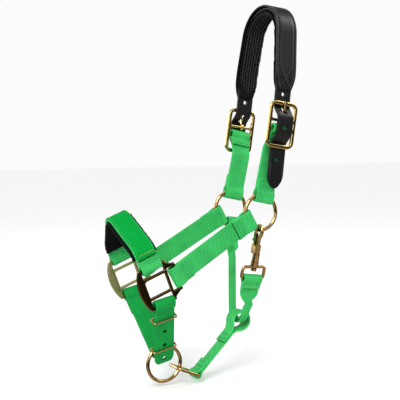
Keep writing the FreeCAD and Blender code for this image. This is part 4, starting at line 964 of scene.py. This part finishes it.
def crown_leather():
    steps = [line(NEAR_TIP_RUN)] + weave() + arch_steps(LEG_RUN, LEG_RUN + CROWN_DROP)
    steps += weave() + [line(FAR_TIP_RUN)]
    path = laid_out("crown_strap", steps, across_from(X_AXIS, CROWN_UP), CROWN_UP,
                    LEATHER_WIDTH, LEATHER_THICK)
    section = strap_section(LEATHER_WIDTH, LEATHER_THICK, 0.9, 10)

    def pointed(reach, flat):
        """Rounded points at both tips."""
        from_end = min(reach, path.total - reach)
        return narrowed(flat, end_width(from_end + 0.6, TIP_LONG, 0.0, 0.62))

    piece = ribbon("crown_strap_leather", "crown_strap", path, section, LEATHER, pointed)
    weave_length = sum(step[1] if step[0] == "line" else math.radians(abs(step[2])) * step[1]
                       for step in weave())
    tongue = TONGUE_HOLE_UP - BARS_RUN / 2 - WEAVE_RISE
    holes = []
    for start, towards in ((NEAR_TIP_RUN + weave_length, 1),
                           (path.total - FAR_TIP_RUN - weave_length, -1)):
        for reach, stretch in leather_holes(start, towards, tongue, weave_length):
            point, normal = path.at(reach)
            ahead = normal.cross(path.across).normalized()
            holes.append((point, normal, ahead, stretch))
    drilled(piece, holes)
    rows = []
    first = TIP_LONG - TIP_PLAIN
    for start in (first, path.total - TIP_STITCH_END):
        for hand in (-1, 1):
            edge = hand * (LEATHER_WIDTH / 2 - LEATHER_SEAM)
            rows.append(((start, edge), (start + TIP_STITCH_END - first, edge)))
    stitches("crown_strap_stitching", "crown_strap", path, rows, 1, LEATHER_THICK / 2,
             BLACK_THREAD_PAINTED_SHEEN, 2.6, 0.7)


def leather_holes(start, towards, tongue, weave_length):
    """(reach, stretch) of the tongue's slot and of three round holes: one above the buckle,
    one inside it and one below. Reach runs along the leather, through the weave."""
    return [(start + towards * tongue, TONGUE_STRETCH),
            (start + towards * (tongue + HOLE_SPACING), 0.0),
            (start - towards * (weave_length / 2 + MIDDLE_HOLE), 0.0),
            (start - towards * (weave_length + TIP_HOLE), 0.0)]


def crown_layer(node, inset, width, thick):
    """Path of a layer that lies along the crown strap from one leg to the other."""
    steps = moved_inward(arch_steps(LEG_RUN - PAD_START, LEG_RUN + CROWN_DROP - PAD_START), inset)
    return laid_out(node, steps, across_from(X_AXIS, CROWN_UP), CROWN_UP, width, thick)


def end_width(reach, long, start, power):
    """Share of the full width near an end that begins at `start` and swells over `long`."""
    share = min(1.0, reach / long)
    return start + (1 - start) * math.sin(share * math.pi / 2) ** power


def crown_end(path):
    """A change of section that narrows the padding and its cover at both ends."""
    def shape(reach, flat):
        from_end = min(reach, path.total - reach)
        return narrowed(flat, end_width(from_end + 0.5, CROWN_TAPER, 0.62, 0.8))
    return shape


def crown_cover():
    inset = -(LEATHER_THICK + COVER_THICK) / 2 - LAYER_GAP
    path = crown_layer("crown_cover", inset, CROWN_WIDTH, COVER_THICK)
    ribbon("crown_cover_leather", "crown_cover", path, cover_section(), LEATHER, crown_end(path))
    rows = []
    outer = CROWN_WIDTH / 2 - COVER_SEAM
    inner = PANEL_SEAM
    for hand in (-1, 1):
        for places in (((CROWN_TAPER, outer), (path.total - CROWN_TAPER, outer)),
                       ((3.0, 7.2), (CROWN_TAPER, outer)),
                       ((path.total - 3.0, 7.2), (path.total - CROWN_TAPER, outer)),
                       ((30.0, inner), (path.total - 30.0, inner)),
                       ((6.0, 5.0), (30.0, -inner)),
                       ((path.total - 6.0, 5.0), (path.total - 30.0, -inner))):
            rows.append([(reach, hand * across) for reach, across in places])
    stitches("crown_cover_stitching", "crown_cover", path, rows, 1,
             COVER_THICK / 2 + 0.3, BLACK_THREAD_PAINTED_SHEEN, 3.0, 0.9)


def cover_section():
    """Outer leather: a raised panel in the middle, a bead along each edge."""
    flat = strap_section(CROWN_WIDTH, COVER_THICK, 0.7, 28)
    shaped = []
    for across, up in flat:
        if up > 0.5:
            panel = 1 / (1 + math.exp((abs(across) - PANEL_HALF) * 3.0))
            bead = math.exp(-((abs(across) - BEAD_OUT) / 0.7) ** 2)
            up += PANEL_TALL * (panel + bead)
        shaped.append((across, up))
    return shaped


def crown_padding():
    inset = (LEATHER_THICK + CROWN_PAD) / 2 + LAYER_GAP
    path = crown_layer("crown_padding", inset, CROWN_WIDTH, CROWN_PAD)
    section = strap_section(CROWN_WIDTH - 1.2, CROWN_PAD - 1.0, 1.4, 14)
    padding("crown_lining", "crown_padding", path, section, LINING, -1,
            (LINING_ROW, 3.0, 0.75), crown_end(path))
    rows = []
    for row in range(-LINING_ROWS, LINING_ROWS + 1):
        start = LINING_START + LINING_STEP * abs(row)
        rows.append(((start, row * LINING_ROW), (path.total - start, row * LINING_ROW)))
    stitches("crown_lining_stitching", "crown_padding", path, rows, -1,
             CROWN_PAD / 2 - 0.2, BLACK_THREAD_PAINTED_SHEEN, 3.0, 0.9)


crown_leather()
crown_cover()
crown_padding()

# ---------------------------------------------------------------- noseband

NOSE_UP = tilted(-NOSE_TILT)


def nose_arch(lead):
    lean = math.radians(NOSE_LEAN)
    half = middle_of("near_halter_square").x / MM - PLY / 2
    curve = NOSE_CURVE * (1 - math.cos(lean))
    leg = (half - curve - NOSE_TOP * math.cos(lean)) / math.sin(lean)
    up = [line(lead), arc(NOSE_CURVE, NOSE_LEAN), line(leg)]
    down = [line(leg), arc(NOSE_CURVE, NOSE_LEAN), line(lead)]
    return up + [arc(NOSE_TOP, 180 - 2 * NOSE_LEAN)] + down


def nose_path(node, inset, width, thick):
    lead = NOSE_LEAD + NOSE_FLAP + eye_reach(0.0, BAR_EYE) - OVERLAY_START
    steps = moved_inward(nose_arch(lead), inset)
    return laid_out(node, steps, across_from(X_AXIS, NOSE_UP), NOSE_UP, width, thick)


def noseband():
    steps = [line(NOSE_FLAP)] + eye(-1, 0.0, BAR_EYE) + nose_arch(NOSE_LEAD + NOSE_FLAP)
    steps += eye(-1, 0.0, BAR_EYE) + [line(NOSE_FLAP)]
    path = laid_out("noseband_strap", steps, across_from(-X_AXIS, -NOSE_UP), -NOSE_UP,
                    WEBBING_WIDTH, WEBBING_THICK)
    ribbon("noseband_webbing", "noseband_strap", path, WEBBING_SECTION, WEBBING, RIBS, 0.1)


def noseband_overlay():
    inset = -(WEBBING_THICK + OVERLAY_THICK) / 2 - LAYER_GAP
    path = nose_path("noseband_overlay", inset, OVERLAY_WIDTH, OVERLAY_THICK)
    section = strap_section(OVERLAY_WIDTH, OVERLAY_THICK, 0.6, 14)
    section = [(across, up + OVERLAY_SWELL * (1 - (across / OVERLAY_WIDTH * 2) ** 2)
                if up > 0.4 else up) for across, up in section]
    ribbon("noseband_overlay_satin", "noseband_overlay", path, section, SATIN, plain, 0.1)
    edge = OVERLAY_WIDTH / 2 - OVERLAY_SEAM
    rows = [((2.0, hand * edge), (path.total - 2.0, hand * edge)) for hand in (-1, 1)]
    stitches("noseband_overlay_stitching", "noseband_overlay", path, rows, 1,
             OVERLAY_THICK / 2 + 0.1, EDGE_THREAD, 2.8, 0.8)
    tacks = bar_tacks((4.5, path.total - 4.5), GOLD_TACK_WIDTH, 1)
    stitches("noseband_overlay_tacks", "noseband_overlay", path, tacks, 1,
             OVERLAY_THICK / 2 + 0.3, GOLD_THREAD, 2.2, 1.0)


def noseband_padding():
    inset = (WEBBING_THICK + NOSE_PAD) / 2 + LAYER_GAP
    path = nose_path("noseband_padding", inset, NOSE_PAD_WIDTH, NOSE_PAD)
    section = strap_section(NOSE_PAD_WIDTH - 1.2, NOSE_PAD - 1.0, 1.8, 14)
    padding("noseband_lining", "noseband_padding", path, section, NOSE_LINING, -1,
            (5.0, 4.2, 0.9))


noseband()
noseband_overlay()
noseband_padding()

# ---------------------------------------------------------------- chin strap

CHIN_UP = tilted(-CHIN_TILT)
CHIN_RUN, CHIN_OUT = leaning(CHIN_UP, math.radians(CHIN_NEAR_LEAN))


def chin_far_leg():
    """Lean and straight length of the far leg, from the bend at the ring to its bar."""
    offset = RING_EYE + PLY / 2
    bend = square_point(NEAR, 0.0, -TOP_BAR) - CHIN_OUT * offset - CHIN_RUN * CHIN_NEAR_LEG
    span = square_point(FAR, 0.0, -TOP_BAR) - bend
    far_lean = math.atan2(-span.x, span.dot(CHIN_UP)) - math.asin(offset / span.length)
    return math.degrees(far_lean), math.sqrt(span.length ** 2 - offset ** 2)


def chin_strap():
    bar_eye = eye_reach(CHIN_DIP, CHIN_EYE)
    far_lean, far_run = chin_far_leg()
    steps = [line(CHIN_FREE_END)] + eye(1, CHIN_DIP, CHIN_EYE)
    steps += [line(CHIN_NEAR_LEG - bar_eye), arc(RING_EYE, CHIN_NEAR_LEAN + far_lean - 180)]
    steps += [line(far_run - bar_eye)] + eye(1, CHIN_DIP, CHIN_EYE) + [line(CHIN_FAR_FLAP)]
    path = laid_out("chin_strap", steps, CHIN_OUT, CHIN_RUN, WEBBING_WIDTH, WEBBING_THICK)

    def rounded_end(reach, flat):
        ribs = ribbed(RIB_PITCH, RIB_DEPTH * (0.25 if reach < CHIN_SMOOTH else 0.8))
        return narrowed(ribs(reach, flat), end_width(reach + 0.5, CHIN_TIP_LONG, 0.66, 0.7))

    piece = ribbon("chin_strap_webbing", "chin_strap", path, WEBBING_SECTION,
                   CHIN_WEBBING, rounded_end, 0.08)
    holes = []
    for reach in CHIN_HOLES:
        point, normal = path.at(reach)
        holes.append((point + normal * (CHIN_PUNCH_OUT * MM), normal, CHIN_RUN, 0.0))
    drilled(piece, holes)
    ends = (path.total - 4.0, path.total - 12.0)
    green_tacks("chin_strap_stitching", "chin_strap", path, ends, 1)


chin_strap()

# ---------------------------------------------------------------- jaw strap

JAW_RUN = tilted(90.0 - JAW_RISE)


def jaw_strap():
    main = JAW_LENGTH - eye_reach(0.0, LINK_EYE) - eye_reach(0.0, JAW_LOOP, JAW_LOOP_PART)
    steps = [line(JAW_FLAP)] + eye(1, 0.0, JAW_LOOP, JAW_LOOP_PART) + [line(main)]
    steps += eye(1, 0.0, LINK_EYE) + [line(JAW_FLAP)]
    path = laid_out("jaw_strap", steps, X_AXIS.cross(JAW_RUN), JAW_RUN, JAW_WIDTH, WEBBING_THICK)
    ribbon("jaw_strap_webbing", "jaw_strap", path, JAW_SECTION, WEBBING, RIBS, 0.05)
    reaches = (3.0, 10.0, path.total - 4.5, path.total - 11.0)
    green_tacks("jaw_strap_stitching", "jaw_strap", path, reaches, 1, JAW_TACK_WIDTH)


jaw_strap()

# ---------------------------------------------------------------- throat strap

def folded(section, amount):
    """Fold a flat section lengthwise: its + half turns over onto the other half."""
    bend = amount * math.pi / 2
    if bend < 0.001:
        return section
    curve = bend / FOLD_HALF
    edge = (math.sin(bend) / curve, (1 - math.cos(bend)) / curve)
    result = []
    for across, up in section:
        if abs(across) <= FOLD_HALF:
            turn = curve * across
            x = math.sin(turn) / curve
            y = (1 - math.cos(turn)) / curve
        else:
            turn = math.copysign(bend, across)
            beyond = abs(across) - FOLD_HALF
            x = math.copysign(edge[0] + beyond * math.cos(bend), across)
            y = edge[1] + beyond * math.sin(bend)
        x -= up * math.sin(turn)
        y += up * math.cos(turn)
        result.append((x * math.cos(bend) - y * math.sin(bend),
                       x * math.sin(bend) + y * math.cos(bend)))
    middle = [(min(pair[axis] for pair in result) + max(pair[axis] for pair in result)) / 2
              for axis in (0, 1)]
    return [(x - middle[0], y - middle[1]) for x, y in result]


def eased(reach, start, end):
    """0 before start, 1 after end, smooth between."""
    share = min(1.0, max(0.0, (reach - start) / (end - start)))
    return share * share * (3 - 2 * share)


def throat_strap():
    near_bar = throat_bar()
    far_angle = math.radians(THROAT_FAR_ANGLE)
    ring = middle_of("far_cheek_ring") / MM
    far_hold = ring + Vector((0, math.sin(far_angle), -math.cos(far_angle))) * RING_HOLD
    link_end = jaw_loop_centre()
    tilt = math.atan2(far_hold.y - near_bar.y, far_hold.z - near_bar.z)
    plane_up = Vector((0, math.sin(tilt), math.cos(tilt)))

    def in_plane(point):
        offset = point - far_hold
        return offset.x, offset.dot(plane_up)

    loop = in_plane(link_end)
    centre = (loop[0], loop[1] + THROAT_BEND)
    near_lean, near_run = throat_leg(in_plane(near_bar), centre, NEAR)
    far_lean, far_run = throat_leg((0.0, 0.0), centre, FAR)
    near_run -= eye_reach(0.0, THROAT_NEAR_EYE)
    far_run -= eye_reach(RING_DIP, THROAT_FAR_EYE)
    turn = 180 - math.degrees(near_lean + far_lean)
    steps = [line(THROAT_NEAR_FLAP)] + eye(1, 0.0, THROAT_NEAR_EYE)
    steps += [line(near_run), arc(THROAT_BEND, -turn), line(far_run)]
    steps += eye(1, RING_DIP, THROAT_FAR_EYE) + [line(THROAT_FAR_FLAP)]
    run, out = leaning(plane_up, near_lean)
    path = laid_out("throat_strap", steps, out, run, FOLDED_WIDTH, FOLDED_THICK)
    eye_end = THROAT_NEAR_FLAP + eye_length(0.0, THROAT_NEAR_EYE)
    wide_until = eye_end + THROAT_NEAR_WIDE
    narrow_from = path.total - THROAT_FAR_FLAP - eye_length(RING_DIP, THROAT_FAR_EYE)
    gather_from = narrow_from - GATHER_LONG

    def fold(reach, flat):
        amount = (eased(reach, wide_until, wide_until + FOLD_LONG)
                  * (1 - eased(reach, gather_from, narrow_from - 10.0)))
        gather = 1 - GATHERED * eased(reach, gather_from, narrow_from - 8.0)
        wide = gather * (1 - FOLD_SHRINK * amount)
        return folded(narrowed(RIBS(reach, flat), wide, 0.9), FOLD_SHUT * amount)

    ribbon("throat_strap_webbing", "throat_strap", path,
           strap_section(WEBBING_WIDTH, WEBBING_THICK, 1.0, 24), WEBBING, fold)
    stitches("throat_strap_tacks", "throat_strap", path,
             bar_tacks((eye_end + 3.0,), GOLD_TACK_WIDTH) + bar_tacks((1.4,), GOLD_TACK_WIDTH, 1), 1,
             WEBBING_THICK / 2, GOLD_THREAD, 2.4, 0.8)


def throat_bar():
    """Centre of the snap eye's lower bar, measured from the eye's box."""
    low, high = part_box("snap_eye")
    return Vector((low.x / MM + SNAP_BAR_OUT, (low.y + high.y) / 2 / MM + SNAP_BAR_BACK,
                   low.z / MM + SNAP_BAR_UP))


def jaw_loop_centre():
    low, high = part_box("jaw_strap")
    reach = JAW_LOOP + WEBBING_THICK / 2
    return Vector(((low.x + high.x) / 2 / MM, high.y / MM - reach, high.z / MM - reach))


def throat_leg(hold, centre, hand):
    """Lean and straight length of a leg tangent to the bottom bend."""
    across = hand * (hold[0] - centre[0])
    distance = math.hypot(across, hold[1] - centre[1])
    offset = THROAT_BEND + PLY / 2
    lean = math.atan2(across, hold[1] - centre[1]) - math.asin(offset / distance)
    return lean, math.sqrt(distance ** 2 - offset ** 2)


throat_strap()

# ---------------------------------------------------------------- studio

def studio():
    low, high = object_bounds()
    bpy.ops.mesh.primitive_plane_add(size=FLOOR_SIZE, location=(0, 0, low.z - FLOOR_DROP * MM))
    floor = bpy.context.active_object
    floor.name = "floor"
    paper = Surface("paper", (0.9, 0.9, 0.9), 0.85)
    paper.tint(paper.noise(220.0, 4.0), (0.3, (0.93, 0.93, 0.93)), (0.7, (0.96, 0.96, 0.96)))
    floor.data.materials.append(paper.material)
    floor.visible_glossy = False
    floor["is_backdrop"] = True
    backdrop_world()
    centre = (low + high) / 2
    key = bpy.data.lights.new("key", "SUN")
    key.energy = KEY_POWER
    key.angle = math.radians(KEY_SOFTNESS)
    aimed(key, Vector((0.75, -0.75, 0.8)), Vector((0, 0, 0)))
    for name, offset, size, power in (("fill", (-1.0, -0.8, 0.3), 1.0, 5.0),
                                      ("rim", (0.2, 1.2, 0.9), 0.8, 8.0)):
        light = bpy.data.lights.new(name, "AREA")
        light.shape = "DISK"
        light.size = size
        light.energy = power
        aimed(light, centre + Vector(offset), centre)


def aimed(data, place, target):
    """Put a light or camera at a place, looking at a target."""
    holder = new_object(data.name, data)
    holder.location = place
    holder.rotation_euler = (target - place).to_track_quat("-Z", "Y").to_euler()
    return holder


def backdrop_world():
    """White to the camera and soft white on the straps. Metal sees light above and a dark
    band below the horizon."""
    world = bpy.data.worlds.new("studio")
    bpy.context.scene.world = world
    world.use_nodes = True
    sky = Shading(world.node_tree)
    direction = sky.split(sky.coordinates("Generated"))
    height = sky.plus(sky.times(direction[2], 0.5), 0.5)
    ripple = sky.times(sky.sine(sky.times(direction[0], 7.0)), 0.09)
    reflected = sky.ramp(sky.plus(height, ripple), (
        (0.26, (0.45, 0.42, 0.38)), (0.34, (0.03, 0.027, 0.024)), (0.50, (0.02, 0.018, 0.016)),
        (0.55, (1.3, 1.3, 1.3)), (0.64, (0.9, 0.9, 0.9)), (0.70, (0.06, 0.06, 0.065)),
        (0.84, (0.05, 0.05, 0.05)), (0.92, (1.2, 1.2, 1.2))))
    ray = sky.nodes.new("ShaderNodeLightPath").outputs
    soft = sky.chosen(ray["Is Glossy Ray"], (0.55, 0.55, 0.55, 1), reflected)
    seen = sky.chosen(ray["Is Camera Ray"], soft, (0.97, 0.97, 0.97, 1))
    sky.links.new(seen, sky.nodes["Background"].inputs["Color"])


def camera():
    turn, rise = math.radians(CAMERA_AZIMUTH), math.radians(CAMERA_ELEVATION)
    back = Vector((math.sin(turn) * math.cos(rise), -math.cos(turn) * math.cos(rise),
                   math.sin(rise)))
    right = Vector((math.cos(turn), math.sin(turn), 0))
    up = back.cross(right)
    lens = bpy.data.cameras.new("camera")
    lens.lens = CAMERA_LENS
    lens.sensor_width = 36.0
    aim = right * (AIM_RIGHT * MM) + up * (AIM_UP * MM)
    bpy.context.scene.camera = aimed(lens, back * CAMERA_DISTANCE, aim)


studio()
camera()
bpy.context.scene.view_settings.view_transform = "Standard"
